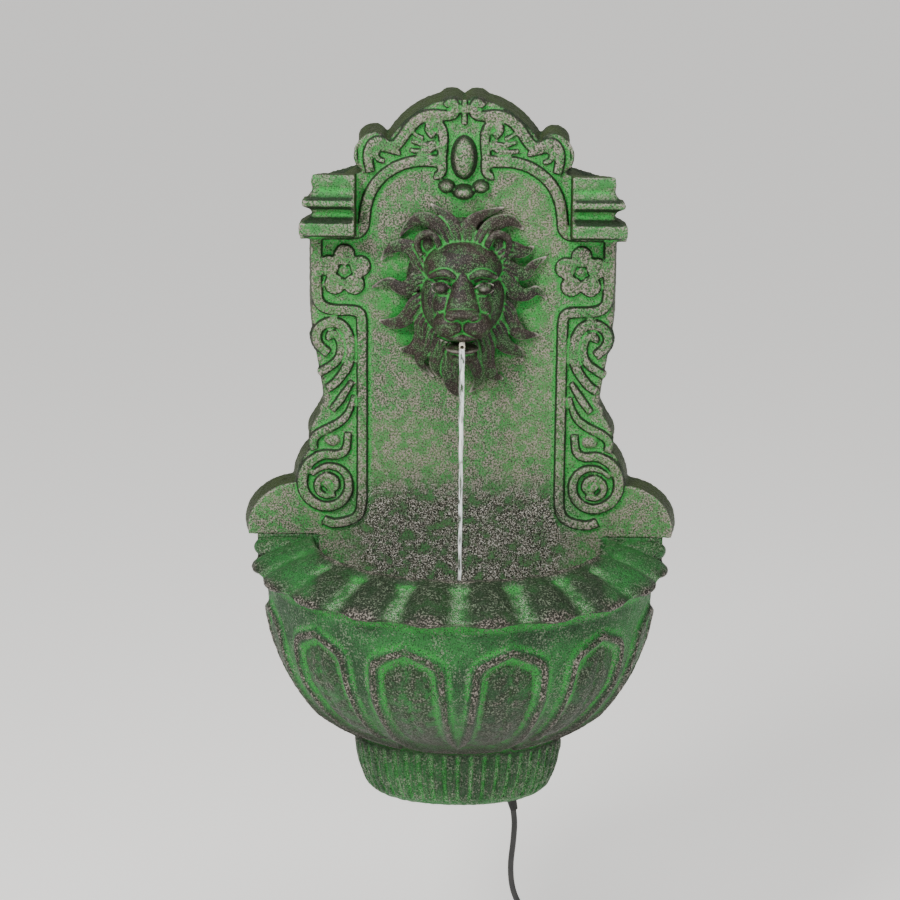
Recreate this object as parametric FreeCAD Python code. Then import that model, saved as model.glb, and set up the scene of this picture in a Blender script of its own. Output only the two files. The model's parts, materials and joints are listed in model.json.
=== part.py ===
import FreeCAD
import Part
import os
from math import atan2, cos, pi, radians, sin, sqrt, tan

V = FreeCAD.Vector

# A wall fountain of two hollow resin castings: a carved back panel with a lion mask,
# and a half-round basin on a reeded foot. A small pump in the foot lifts water to the mask.
# Millimetres. X runs to the right, Y into the wall (the wall is Y = 0) and Z up.
# Heights are measured from the basin's rim and moved at the end, so that the origin
# is midway between the two keyholes that the fountain hangs from.

# Hanging
HANGER_HEIGHT = 330.0
HANGER_SPACING = 200.0
KEYHOLE_R = 5.0
KEYHOLE_SLOT_W = 5.0
KEYHOLE_SLOT_L = 12.0
HANGER_W = 34.0
HANGER_L = 58.0
HANGER_T = 2.0
HANGER_SCREW_R = 2.0
HANGER_SCREW_L = 14.0

# Back panel
FIELD_DEPTH = 40.0
PANEL_WALL = 7.0
PANEL_DRAFT = 1.03
CARVING_ROOT = 4.0
CREST_TOP = 484.0
CORNICE_HEIGHT = 338.0
CAPITAL_TOP = 404.0
CAPITAL_BLOCK_X = 161.0
CAPITAL_DEPTH = 62.0
CAPITAL_FLARE = 13.0
BLOCK_X = 164.0
EAR_X = 235.5
APRON_X = 148.0
APRON_DEPTH = 70.0
BEAD_R = 5.8
ARCH_X = 107.0
ARCH_CROWN = 418.0
STRIP_X = 109.0
BLOCK_STRIP_X = 158.5
BLOCK_FOOT = 256.0
FLOWER_X = 128.5
FLOWER_HEIGHT = 299.0
PETAL_RING_R = 19.5
PETAL_R = 11.0
UPPER_VOLUTE = (141.0, 225.0)
UPPER_VOLUTE_R = 20.0
LOWER_VOLUTE = (145.0, 63.0)
LOWER_VOLUTE_R = 30.5
OVAL_HEIGHT = 421.0
OVAL_HALF_W = 14.9
OVAL_HALF_H = 25.5

# Lion mask
MASK_HEIGHT = 288.0
MASK_WALL = 8.0
SPOUT_HEIGHT = 229.0
SPOUT_TIP = 122.0
FACE_HALF_W = 46.0
FACE_HALF_H = 60.0
FACE_RISE = 42.0
MANE_HALF_W = 78.0
MANE_HALF_H = 88.0

# Basin
BASIN_AXIS = 36.0
RIM_R = 163.0
LIP_R = 234.0
LIP_DROP = 25.0
LIP_T = 8.0
LIP_LOBES = 10
FLUTE_R = 9.0
FLUTE_DEPTH = 4.5
BOWL_WALL = 7.0
FOOT_HALF_W = 117.0
FOOT_HALF_D = 62.0
FOOT_TOP = -236.0
FOOT_BOTTOM = -306.0
FOOT_FLOOR_T = 8.0
REED_STEP = 9.0
REED_R = 2.2
ARCH_COUNT = 6
ARCH_RELIEF = 5.0
ARCH_BORDER = 9.0
ARCH_START = 45.0
ARCH_HALF_W = 42.0
ARCH_SHOULDER = -80.0
ARCH_PEAK = -63.0
ARCH_LEAN = (9.0, 29.0, 18.0)
ARCH_FOOT_W = (31.0, 18.0, 12.0)
LEDGE_OUT = 228.0
LEDGE_DEPTH = 40.0
LEDGE_UNDER = -LIP_DROP - 8.0

# Bolts that join panel and basin
BOLT_X = 192.0
BOLT_Y = -20.0
BOLT_R = 3.0
BOLT_L = 52.0
BOLT_HEAD_R = 7.0
BOLT_HEAD_T = 3.5
WASHER_R = 9.0
WASHER_T = 1.6
NUT_R = 6.0
NUT_T = 7.0
WING_SPAN = 14.0
WING_H = 9.0

# Water way
HOSE_R = 8.0
HOSE_BORE_R = 6.2
HOSE_Y = -20.0
HOSE_LAP = 14.0
SPOUT_R = 5.0
SPOUT_BORE_R = 3.5
SPOUT_SOCKET = 8.0
ELBOW_R = 7.5
ELBOW_BORE_R = 4.0
ELBOW_DROP = 29.0
FLANGE_R = 13.0
FLANGE_T = 2.5
LOCK_NUT_R = 12.0
LOCK_NUT_T = 5.5
NUT_POCKET = 9.0
CLIP_HEIGHTS = (60.0, 150.0)
CLIP_SKIN = -FIELD_DEPTH + PANEL_WALL
CLIP_W = 10.0
CLIP_T = 2.0
CLIP_SCREW_X = 17.0
CLIP_SCREW_R = 1.75
CLIP_SCREW_L = 5.5
CLIP_SCREW_HEAD_R = 3.5

# Pump: lengths along its axis are measured from its rear face towards the inlet
PUMP_REAR_X = 8.0
PUMP_Y = -40.0
PUMP_W = 38.0
PUMP_H = 40.0
PUMP_CORNER_R = 5.0
CUP_H = 7.0
CUP_R = 7.5
CUP_STEM_R = 2.5
MOTOR_L = 36.0
HEAD_L = 12.0
COVER_L = 11.0
PLASTIC_WALL = 2.0
BUSH_R = 4.0
BUSH_T = 3.0
WELL_START = 8.0
WELL_R = 9.0
MAGNET_R = 8.2
MAGNET_START = 10.0
SHAFT_R = 1.2
IMPELLER_R = 12.5
VANE_T = 1.2
VANES = 6
HUB_R = 4.0
CHAMBER_R = 15.0
CHAMBER_LID_R = 17.0
CHAMBER_LID_T = 2.5
INLET_R = 9.0
SPOKES = 3
SPIGOT_L = 22.0
SPIGOT_BORE_R = 4.2
SLOT_W = 2.0
SLOT_PITCH = 3.8
STOP_T = 1.0
WINDOW_W = 8.0
WINDOW_H = 9.0
SLIDER_W = 12.0
SLIDER_H = 16.0
SLIDER_T = 2.0
SLIDER_TRAVEL = 7.0
RAIL_T = 2.0

# Fits
SEAT_GAP = 0.3
RUN_GAP = 0.08
PRESS_GAP = 0.02
CLIP_BORE_GAP = 0.3
HOLE_GAP = 0.5
SEAM_TOLERANCE = 0.000001

# Power cord
CORD_R = 3.5
LEAD_RISE = 33.0
GROMMET_X = 60.0
GROMMET_Y = -28.0
GROMMET_R = 9.0
GROMMET_FLANGE_R = 12.0
GROMMET_FLANGE_T = 3.0
RELIEF_L = 24.0
RELIEF_R = 7.0
COIL_X = 80.0
COIL_Y = -24.0
COIL_Z = -512.4
COIL_IN_R = 31.5
COIL_OUT_R = 45.5
COIL_W = 21.0
TIE_T = 1.6
TIE_W = 7.0
PLUG_L = 34.0
PLUG_W = 25.0
PLUG_T = 19.0
PLUG_NECK_R = 4.8
PLUG_NECK_RISE = 7.5
BLADE_L = 17.5
BLADE_W = 6.3
BLADE_T = 1.5
BLADE_SPACING = 12.7
BLADE_SETBACK = 5.0
EARTH_PIN_R = 2.4
EARTH_PIN_L = 20.5
EARTH_PIN_PITCH = 11.9

# Worked out from the sizes above
SUMP_FLOOR = FOOT_BOTTOM + FOOT_FLOOR_T
PUMP_FOOT = SUMP_FLOOR + CUP_H
PUMP_AXIS = PUMP_FOOT + PUMP_H / 2
SPIGOT_X = PUMP_REAR_X - MOTOR_L - HEAD_L + HOSE_BORE_R + SEAT_GAP
CORD_EXIT = FOOT_BOTTOM - GROMMET_FLANGE_T

# Routes, chosen by hand: the lead inside the foot, the hose, the free cord and its tail
LEAD_ROUTE = [
    (PUMP_REAR_X - 3, PUMP_Y, PUMP_FOOT + LEAD_RISE), (24, PUMP_Y, PUMP_FOOT + LEAD_RISE + 1),
    (40, -37, -260), (50, -32, -268), (GROMMET_X - 6.3, GROMMET_Y, CORD_EXIT + 26.1),
    (GROMMET_X, GROMMET_Y, CORD_EXIT)]
HOSE_ROUTE = [
    (SPIGOT_X, PUMP_Y, PUMP_FOOT + PUMP_H + SPIGOT_L - HOSE_LAP), (SPIGOT_X, PUMP_Y, -190),
    (-24, -31, -128), (-5, -21, -66), (0, HOSE_Y, -8),
    (0, HOSE_Y, SPOUT_HEIGHT - ELBOW_DROP + HOSE_LAP)]
CORD_ROUTE = [
    (GROMMET_X, GROMMET_Y, CORD_EXIT), (GROMMET_X + 7, GROMMET_Y, CORD_EXIT - 29),
    (66, -28, -370), (62, -29, -405), (66, -30, -437), (79, -31, -460), (101, -31, -476)]
TAIL_ROUTE = [(115, -31, -500), (115, -38, -512), (115, -46, -524), (115, -49, -536), (115, -49, -550)]


def at(point, y=0.0):
    return V(point[0], y, point[1])


def mirrored(shape):
    return shape.mirror(V(0, 0, 0), V(1, 0, 0))


def box(x0, x1, y0, y1, z0, z1):
    return Part.makeBox(x1 - x0, y1 - y0, z1 - z0, V(x0, y0, z0))


def rod(start, end, radius):
    return Part.makeCylinder(radius, (end - start).Length, start, end - start)


def cone_rod(start, end, r_start, r_end):
    return Part.makeCone(r_start, r_end, (end - start).Length, start, end - start)


def ball(centre, radius):
    return Part.makeSphere(radius, centre)


def ellipsoid(centre, half_x, half_y, half_z):
    grow = FreeCAD.Matrix()
    grow.scale(half_x, half_y, half_z)
    shape = Part.makeSphere(1.0).transformGeometry(grow)
    shape.translate(centre)
    return shape


def edges_of(start, legs):
    """Edges in the plane y = 0: a leg is a point for a line, or a list of points for a curve."""
    edges = []
    here = start
    for leg in legs:
        if isinstance(leg, list):
            curve = Part.BSplineCurve()
            curve.interpolate([at(here)] + [at(point) for point in leg])
            edges.append(curve.toShape())
            here = leg[-1]
        else:
            edges.append(Part.LineSegment(at(here), at(leg)).toShape())
            here = leg
    return edges


def closed_wire(edges):
    return Part.Wire(Part.sortEdges(edges)[0])


def slab(edges, y_front, y_back):
    face = Part.Face(closed_wire(edges))
    face.translate(V(0, y_front, 0))
    return face.extrude(V(0, y_back - y_front, 0))


def half_outline(start, legs):
    """The right half of a symmetrical outline, closed along the middle line."""
    return edges_of(start, legs + [start])


def right_half(shape):
    return shape.common(box(0, 400, -400, 100, -400, 600))


def whole(half):
    return half.fuse(mirrored(half))


def bead(points, radius=BEAD_R, depth=FIELD_DEPTH):
    """A half-sunk round moulding through two points, or along the arc through three."""
    path = [at(point, -depth) for point in points]
    if len(path) == 2:
        body = rod(path[0], path[1], radius)
    else:
        arc = Part.Arc(*path)
        start = arc.value(arc.FirstParameter)
        heading = arc.tangent(arc.FirstParameter)[0]
        section = Part.Wire(Part.Circle(start, heading, radius).toShape())
        body = Part.Wire(arc.toShape()).makePipeShell([section], True, True)
    return [body, ball(path[0], radius), ball(path[-1], radius)]


def panel_outline():
    """Right half, from the crest's top to the apron's foot."""
    return half_outline((0, CREST_TOP - 4), [
        [(14, CREST_TOP + 2), (26, 480)],
        [(52, 468.5), (68, 455), (81, 438)],
        [(93, 447), (106, 443), (113.5, 427), (108, CAPITAL_TOP)],
        (150, CAPITAL_TOP),
        (150, CORNICE_HEIGHT),
        (BLOCK_X, CORNICE_HEIGHT),
        (BLOCK_X, 270),
        [(162, 228), (156, 190), (150, 152)],
        [(159, 134), (167, 116), (163, 103)],
        [(176, 86), (183, 60)],
        [(208, 52), (228, 34), (EAR_X, 0)],
        (APRON_X, 0),
        (APRON_X, -APRON_DEPTH),
        (0, -APRON_DEPTH)])


def panel_body():
    front = closed_wire(panel_outline())
    rear = front.copy()
    draft = FreeCAD.Matrix()
    draft.scale(PANEL_DRAFT, 1.0, 1.0 + (PANEL_DRAFT - 1.0) / 2)
    rear = rear.transformGeometry(draft)
    front.translate(V(0, -FIELD_DEPTH, 0))
    return Part.makeLoft([front, Part.Wire(rear.Edges)], True, True)


def panel_cavity():
    edges = half_outline((0, 466), [
        (44, 456), (70, 428), (98, 424), (104, CAPITAL_TOP - 10), (141, CAPITAL_TOP - 10),
        (141, CORNICE_HEIGHT - PANEL_WALL), (BLOCK_X - 9, CORNICE_HEIGHT - PANEL_WALL),
        (BLOCK_X - 9, 262), (148, 190), (141, 150), (157, 120), (153, 100), (170, 78),
        (176, 50), (206, 42), (220, 28), (226, PANEL_WALL), (APRON_X - PANEL_WALL, PANEL_WALL),
        (APRON_X - PANEL_WALL, -APRON_DEPTH - 1), (0, -APRON_DEPTH - 1)])
    return slab(edges, -FIELD_DEPTH + PANEL_WALL, 1.0)


def border_beads():
    """The rounded border: arch, cornice, round the flower block, down and out in a curl."""
    top = CORNICE_HEIGHT + 1
    runs = [
        [(40, ARCH_CROWN - 1), (62, ARCH_CROWN)],
        [(62, ARCH_CROWN), (96, 398), (ARCH_X, 360)],
        [(ARCH_X, 360), (ARCH_X, 346)],
        [(ARCH_X, 346), (110, 340), (118, top)],
        [(118, top), (160, top)],
        [(BLOCK_STRIP_X, top), (BLOCK_STRIP_X, BLOCK_FOOT + 16)],
        [(BLOCK_STRIP_X, BLOCK_FOOT + 16), (153, BLOCK_FOOT + 4), (142, BLOCK_FOOT)],
        [(142, BLOCK_FOOT), (STRIP_X, BLOCK_FOOT)],
        [(STRIP_X, BLOCK_FOOT), (STRIP_X, 34)],
        [(STRIP_X, 34), (114, 22), (126, 17)],
        [(126, 17), (137, 15.5), (147, 19)]]
    return [piece for run in runs for piece in bead(run)]


def crest_beads():
    """The crest's outer band, C-curls, oval boss with its ring, teardrop and pendant."""
    runs = [
        ([(24, 475), (50, 463), (76, 436)], 4.0),
        ([(84, 436), (103, 440), (103, 408)], 4.5),
        ([(27, 402), (34, 411), (24, 412)], 4.5),
        ([(25, 432), (27, 447), (40, 458)], 3.8),
        ([(40, 458), (42, 446), (34, 447)], 3.8)]
    pieces = [piece for run, radius in runs for piece in bead(run, radius)]
    pieces.append(ball(at((14.5, 476.5), -FIELD_DEPTH), 8.5))
    for x, z, radius in [(20, 388, 8.0), (30, 388, 6.0), (9, 392, 5.0)]:
        pieces.append(ball(at((x, z), -FIELD_DEPTH), radius))
    return pieces


def crest_centre():
    middle = V(0, -FIELD_DEPTH, OVAL_HEIGHT)
    ring = ellipsoid(middle, OVAL_HALF_W + 7, 8, OVAL_HALF_H + 8)
    hollow = ellipsoid(middle - V(0, 9, 0), OVAL_HALF_W + 3, 8, OVAL_HALF_H + 3)
    boss = ellipsoid(middle, OVAL_HALF_W, 13, OVAL_HALF_H)
    drop = ellipsoid(V(0, -FIELD_DEPTH, 468), 5, 9, 15)
    pendant = ball(V(0, -FIELD_DEPTH, 384), 9)
    return [ring.cut(hollow).fuse(boss), drop, pendant]


def flower():
    centre = (FLOWER_X, FLOWER_HEIGHT)
    petals = []
    for turn in range(5):
        angle = radians(90 + 72 * turn)
        spot = (centre[0] + PETAL_RING_R * cos(angle) * 0.95, centre[1] + PETAL_RING_R * sin(angle))
        petals.append(ball(at(spot, -FIELD_DEPTH + 4), PETAL_R))
    petals.append(ball(at(centre, -FIELD_DEPTH - 1), 6.0))
    return petals


def scroll_bracket():
    """Two volutes and the four leaf bands between them, as round beads on the panel."""
    x, z = UPPER_VOLUTE
    r = UPPER_VOLUTE_R
    upper = [
        [(x - 2, z - 18), (x + r, z + 3), (x, z + r)],
        [(x, z + r), (x - 17, z + 8), (x - 21, z - 14)],
        [(x - 21, z - 14), (x - 17, z - 42), (x + 2, z - 61)],
        [(x + 6, z + 3), (x, z + 10), (x - 9, z)],
        [(x - 9, z), (x - 9, z - 24), (x + 12, z - 38)],
        [(x - 21, z - 51), (x - 12, z - 67), (x + 9, z - 80)],
        [(x - 21, z - 76), (x - 4, z - 92), (x + 21, z - 108)],
        [(x + 21, z - 108), (x + 22, z - 115), (x + 18, z - 122)]]
    u, w = LOWER_VOLUTE
    s = LOWER_VOLUTE_R
    lower = [
        [(u - 10, w + s - 2), (u + s, w + 2), (u, w - s)],
        [(u, w - s), (u - 24, w - 6), (u - 4, w + 18)],
        [(u - 4, w + 18), (u + 16, w), (u, w - 17)],
        [(u, w - 17), (u - 12, w - 6), (u - 6, w + 4)]]
    pieces = []
    for run in upper + lower:
        pieces += bead(run, BEAD_R)
    pieces.append(ball(at((u, w), -FIELD_DEPTH), 7.0))
    pieces.append(ball(at((x, z), -FIELD_DEPTH), 6.0))
    return pieces


def moulding(steps, inner, base):
    """Half a moulding's face: steps are (projection, height) from the bottom up."""
    points = [(inner, steps[0][1])] + [(base + out, z) for out, z in steps] + [(inner, steps[-1][1])]
    legs = points[1:] + [points[0]]
    return points[0], legs


def capital():
    """A capital with the same moulding on its front and its outer side, mitred at the corner."""
    steps = [
        (10, CORNICE_HEIGHT - 3), (14, CORNICE_HEIGHT + 3), (14, 353), (9, 356), (3, 359), (0.5, 363),
        (3, 368), (9, 371), (11, 373), (CAPITAL_FLARE - 2, 377), (5, 381), (0, 388),
        (1.5, 396), (0, CAPITAL_TOP)]
    start, legs = moulding(steps, 116, CAPITAL_BLOCK_X)
    front = slab(edges_of(start, legs), -CAPITAL_DEPTH - 20, -PANEL_WALL)
    start, legs = moulding(steps, FIELD_DEPTH - PANEL_WALL, CAPITAL_DEPTH)
    side = Part.Face(closed_wire(edges_of(start, legs)))
    side.rotate(V(0, 0, 0), V(0, 0, 1), -90)
    side.translate(V(100, 0, 0))
    return front.common(side.extrude(V(90, 0, 0)))


def hanger_boss():
    """A solid block behind the cornice that carries one keyhole plate."""
    x = HANGER_SPACING / 2
    block = box(x - HANGER_W / 2 - 3, x + HANGER_W / 2 + 3, -FIELD_DEPTH + 1, 0,
                HANGER_HEIGHT - HANGER_L / 2 - 4, HANGER_HEIGHT + HANGER_L / 2 + 4)
    seat = box(x - HANGER_W / 2 - SEAT_GAP, x + HANGER_W / 2 + SEAT_GAP, -HANGER_T, 1,
               HANGER_HEIGHT - HANGER_L / 2 - SEAT_GAP, HANGER_HEIGHT + HANGER_L / 2 + SEAT_GAP)
    pocket = box(x - KEYHOLE_R - 4, x + KEYHOLE_R + 4, -18, 0,
                 HANGER_HEIGHT - KEYHOLE_R - 4, HANGER_HEIGHT + KEYHOLE_SLOT_L + 6)
    block = block.cut(seat).cut(pocket)
    for z in screw_heights():
        block = block.cut(rod(V(x, 1, z), V(x, -HANGER_SCREW_L - 2, z), HANGER_SCREW_R + PRESS_GAP))
    return block


def screw_heights():
    reach = HANGER_L / 2 - 6
    return (HANGER_HEIGHT - reach, HANGER_HEIGHT + reach)


def back_panel():
    body = right_half(panel_body().cut(panel_cavity()))
    front = box(0, 400, -200, -FIELD_DEPTH + CARVING_ROOT, -100, 600)
    for piece in border_beads() + crest_beads() + flower() + scroll_bracket() + crest_centre():
        body = body.fuse(piece.common(front))
    body = body.fuse(capital()).fuse(hanger_boss())
    body = body.cut(box(-1, 300, -BOWL_WALL - SEAT_GAP, 40, -APRON_DEPTH - 2, 0))
    body = body.cut(rod(V(BOLT_X, BOLT_Y, -1), V(BOLT_X, BOLT_Y, PANEL_WALL + 1), BOLT_R + HOLE_GAP))
    body = whole(body)
    body.fix(SEAM_TOLERANCE, SEAM_TOLERANCE, SEAM_TOLERANCE)
    body = body.cut(rod(V(0, 0, SPOUT_HEIGHT), V(0, -FIELD_DEPTH - 1, SPOUT_HEIGHT), ELBOW_R + SEAT_GAP))
    for x, z in clip_screw_spots():
        body = body.cut(rod(V(x, 0, z), V(x, CLIP_SKIN - CLIP_SCREW_L, z), CLIP_SCREW_R + PRESS_GAP))
    return body


def mane_locks():
    """Tapered locks of the mane, each a bent cone, fanned round the face's right half."""
    locks = []
    count = 18
    for index in range(count // 2 + 1):
        angle = radians(360.0 * index / count)
        across, up = sin(angle), cos(angle)
        reach = 1.0 if index % 2 else 0.86
        middle = MASK_HEIGHT - 4
        root = V(across * 48, -FIELD_DEPTH - 14, middle + up * 58)
        bend = V(across * 72 * reach, -FIELD_DEPTH - 13, middle + up * 84 * reach - 5)
        tip = V(across * 90 * reach, -FIELD_DEPTH - 5, middle + up * 100 * reach - 14)
        locks.append(cone_rod(root, bend, 15, 10))
        locks.append(cone_rod(bend, tip, 10, 4))
    return locks


def lion_mask():
    """A lion's head in high relief: domed face, brow, nose, muzzle, ears and mane."""
    back = -FIELD_DEPTH
    pieces = [
        ellipsoid(V(0, back, MASK_HEIGHT - 6), MANE_HALF_W, 24, MANE_HALF_H),
        ellipsoid(V(0, back, MASK_HEIGHT - 66), 26, 48, 22),
        ellipsoid(V(0, back - 40, 226), 16, 28, 9),
        cone_rod(V(0, back - 40, 312), V(0, back - 66, 262), 10, 13),
        ellipsoid(V(0, back - 62, 260), 15, 14, 9),
        ellipsoid(V(14, back - 42, 252), 18, 30, 17),
        ellipsoid(V(22, back - 38, 304), 15, 13, 8),
        ellipsoid(V(32, back - 24, 276), 16, 18, 20),
        ellipsoid(V(40, back - 18, 334), 13, 12, 14),
        cone_rod(V(0, back - 12, 232), V(0, back - 6, 168), 18, 5),
        cone_rod(V(34, back - 12, 232), V(20, back - 6, 168), 18, 5)]
    quarter = box(0, 200, -200, back, 0, 600)
    head = ellipsoid(V(0, back, MASK_HEIGHT), FACE_HALF_W, FACE_RISE, FACE_HALF_H).common(quarter)
    for piece in pieces + mane_locks():
        head = head.fuse(piece.common(quarter))
    hollow = ellipsoid(V(0, back, MASK_HEIGHT), FACE_HALF_W - MASK_WALL, FACE_RISE - MASK_WALL,
                       FACE_HALF_H - MASK_WALL)
    head = whole(head.cut(hollow))
    head.fix(SEAM_TOLERANCE, SEAM_TOLERANCE, SEAM_TOLERANCE)
    pocket = rod(V(0, back, SPOUT_HEIGHT), V(0, back - NUT_POCKET, SPOUT_HEIGHT), LOCK_NUT_R + 2)
    bore = rod(V(0, 0, SPOUT_HEIGHT), V(0, -200, SPOUT_HEIGHT), SPOUT_R + PRESS_GAP)
    return head.cut(pocket).cut(bore)


def quarter_wire(half_w, half_d, z, back=0.0):
    """The right half of a D-shaped section: a quarter ellipse in front of a straight side."""
    arc = Part.Arc(V(0, -1, 0), V(sqrt(0.5), -sqrt(0.5), 0), V(1, 0, 0)).toShape()
    grow = FreeCAD.Matrix()
    grow.scale(half_w, half_d, 1.0)
    arc = arc.transformGeometry(grow)
    arc.translate(V(0, -BASIN_AXIS, z))
    corners = [V(half_w, -BASIN_AXIS, z), V(half_w, back, z), V(0, back, z),
               V(0, -BASIN_AXIS - half_d, z)]
    sides = [Part.LineSegment(corners[i], corners[i + 1]).toShape() for i in range(3)]
    return Part.Wire([arc.Edges[0]] + sides)


def bowl_sections():
    """Half width, half depth and height of the bowl's outside, from the lip to the foot."""
    return [(215, 215, -28), (215, 215, -60), (211, 210.5, -92), (203, 202, -124), (189, 181, -156),
            (170, 153, -184), (146, 114, -206), (123, 79, -224), (113, 59, FOOT_TOP)]


def half_loft(sections, offset, back, lift=0.0):
    wires = [quarter_wire(half_w + offset, half_d + offset, z + lift, back)
             for half_w, half_d, z in sections]
    return Part.makeLoft(wires, True, False)


def foot_sections():
    height = FOOT_TOP - FOOT_BOTTOM
    shares = [(0.0, 1.0), (0.35, 0.965), (0.65, 0.90), (0.87, 0.82), (0.97, 0.75), (1.0, 0.68)]
    return [(FOOT_HALF_W * k, FOOT_HALF_D * k, FOOT_TOP - height * s) for s, k in shares]


def lip():
    """The sloping lip: one profile turned half round and carried straight back to the wall."""
    tip_z = -LIP_DROP
    points = [(RIM_R, -LIP_T - 2), (RIM_R, -3), (RIM_R + 5, 0), (LIP_R - 6, tip_z + 2), (LIP_R, tip_z - 2),
              (LIP_R - 3, tip_z - 6), (214, tip_z - 10), (206, tip_z - 10)]
    wire = Part.makePolygon([V(r, 0, z) for r, z in points] + [V(points[0][0], 0, points[0][1])])
    face = Part.Face(wire)
    face.translate(V(0, -BASIN_AXIS, 0))
    turned = face.revolve(V(0, -BASIN_AXIS, 0), V(0, 0, 1), -180)
    straight = face.extrude(V(0, BASIN_AXIS, 0))
    return turned.multiFuse([straight, mirrored(straight)])


def lip_flutes():
    """Rounded grooves across the lip, evenly spaced; those on the right half."""
    slope = atan2(LIP_DROP - 2, LIP_R - 6 - RIM_R - 5)
    lift = FLUTE_R - FLUTE_DEPTH
    cutters = []
    for index in range(LIP_LOBES // 2, LIP_LOBES):
        angle = radians(180.0 * index / LIP_LOBES - 90)
        ends = []
        for r in (RIM_R - 8, LIP_R + 8):
            z = -(r - RIM_R - 5) * tan(slope) + lift / cos(slope)
            ends.append(V(r * sin(angle), -BASIN_AXIS - r * cos(angle), z))
        cutters.append(rod(ends[0], ends[1], FLUTE_R))
    return cutters


def arch_prism(index, inset):
    """A pointed arch standing on the foot, run outwards from near the bowl's axis."""
    angle = 180.0 / ARCH_COUNT * (index + 0.5)
    drift = ARCH_LEAN[index]
    foot_w = ARCH_FOOT_W[index] - inset
    top_w = ARCH_HALF_W - inset
    shoulder = ARCH_SHOULDER - inset * 0.4
    crown = ARCH_PEAK - inset * 1.1
    low = FOOT_TOP + 6 + inset * 0.3
    corners = [(0, crown), (top_w, shoulder), (top_w, shoulder - 50), (drift + foot_w, low),
               (drift - foot_w, low), (-top_w, shoulder - 50), (-top_w, shoulder)]
    face = Part.Face(closed_wire(edges_of(corners[0], corners[1:] + [corners[0]])))
    face.translate(V(0, -ARCH_START, 0))
    prism = face.extrude(V(0, -300, 0))
    prism.rotate(V(0, 0, 0), V(0, 0, 1), angle)
    prism.translate(V(0, -BASIN_AXIS, 0))
    return prism


def arches(skin):
    borders = []
    for index in range(ARCH_COUNT // 2):
        ring = arch_prism(index, 0.0).cut(arch_prism(index, ARCH_BORDER))
        borders.append(ring.common(skin))
    return borders


def reeds():
    """Fine grooves down the foot, evenly spaced round it; those on the right half."""
    cutters = []
    top = foot_sections()[0]
    low = foot_sections()[3]
    for index in range(10):
        angle = radians(REED_STEP * index)
        ends = []
        for half_w, half_d, z in (top, low):
            ends.append(V(half_w * sin(angle), -BASIN_AXIS - half_d * cos(angle), z - 3))
        cutters.append(rod(ends[0], ends[1], REED_R))
    return cutters


def basin():
    bowl = half_loft(bowl_sections(), 0.0, 0.0).fuse(half_loft(foot_sections(), 0.0, 0.0))
    bowl = bowl.multiFuse(arches(half_loft(bowl_sections(), ARCH_RELIEF, 0.0)))
    ledge = box(RIM_R - 4, LEDGE_OUT, -LEDGE_DEPTH, 0, -LIP_DROP - 12, 0)
    bowl = right_half(bowl).multiFuse([right_half(lip().cut(Part.makeCompound(lip_flutes()))), ledge])
    hollow = half_loft(bowl_sections(), -BOWL_WALL, -BOWL_WALL)
    hollow = hollow.cut(box(-300, 300, -400, 10, LEDGE_UNDER, 100))
    sump = half_loft(foot_sections(), -BOWL_WALL, -BOWL_WALL, FOOT_FLOOR_T)
    well = Part.makeCylinder(RIM_R, 60, V(0, -BASIN_AXIS, -50))
    well = well.fuse(box(-RIM_R, RIM_R, -BASIN_AXIS, 0, -50, 10))
    well = well.cut(box(-300, 300, -BOWL_WALL, 300, -100, 100))
    bowl = bowl.cut(hollow).cut(sump).cut(well)
    bowl = bowl.fuse(box(0, RIM_R + 2, -BOWL_WALL, 0, LEDGE_UNDER - 2, -1))
    bowl = bowl.cut(Part.makeCompound(reeds()))
    bowl = bowl.cut(rod(V(BOLT_X, BOLT_Y, -60), V(BOLT_X, BOLT_Y, 1), BOLT_R + HOLE_GAP))
    bowl = whole(bowl)
    hole = rod(V(GROMMET_X, GROMMET_Y, FOOT_BOTTOM - 5), V(GROMMET_X, GROMMET_Y, FOOT_BOTTOM + 20),
               GROMMET_R + PRESS_GAP)
    return bowl.cut(hole)


def cut_all(shape, cutters):
    return shape.cut(Part.makeCompound(cutters))


def route_wire(points, name):
    """Straight runs joined by tangent arcs, each as large as its two runs allow."""
    nodes = [V(*point) for point in points]
    edges = []
    here = nodes[0]
    radii = []
    for before, corner, after in zip(nodes, nodes[1:], nodes[2:]):
        back = (before - corner)
        ahead = (after - corner)
        setback = 0.45 * min(back.Length, ahead.Length)
        half_turn = (pi - back.getAngle(ahead)) / 2
        radius = setback / tan(half_turn)
        radii.append(round(radius, 1))
        start = corner + back * (setback / back.Length)
        end = corner + ahead * (setback / ahead.Length)
        inward = (start + end) * 0.5 - corner
        middle = corner + inward * ((radius / cos(half_turn) - radius) / inward.Length)
        edges.append(Part.LineSegment(here, start).toShape())
        edges.append(Part.Arc(start, middle, end).toShape())
        here = end
    edges.append(Part.LineSegment(here, nodes[-1]).toShape())
    wire = Part.Wire(edges)
    print(name, "length", round(wire.Length, 1), "radii", radii)
    return wire


def tube(wire, radius):
    start = wire.Edges[0].Vertexes[0].Point
    heading = wire.Edges[0].tangentAt(wire.Edges[0].FirstParameter)
    section = Part.Wire(Part.Circle(start, heading, radius).toShape())
    return wire.makePipeShell([section], True, True)


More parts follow.
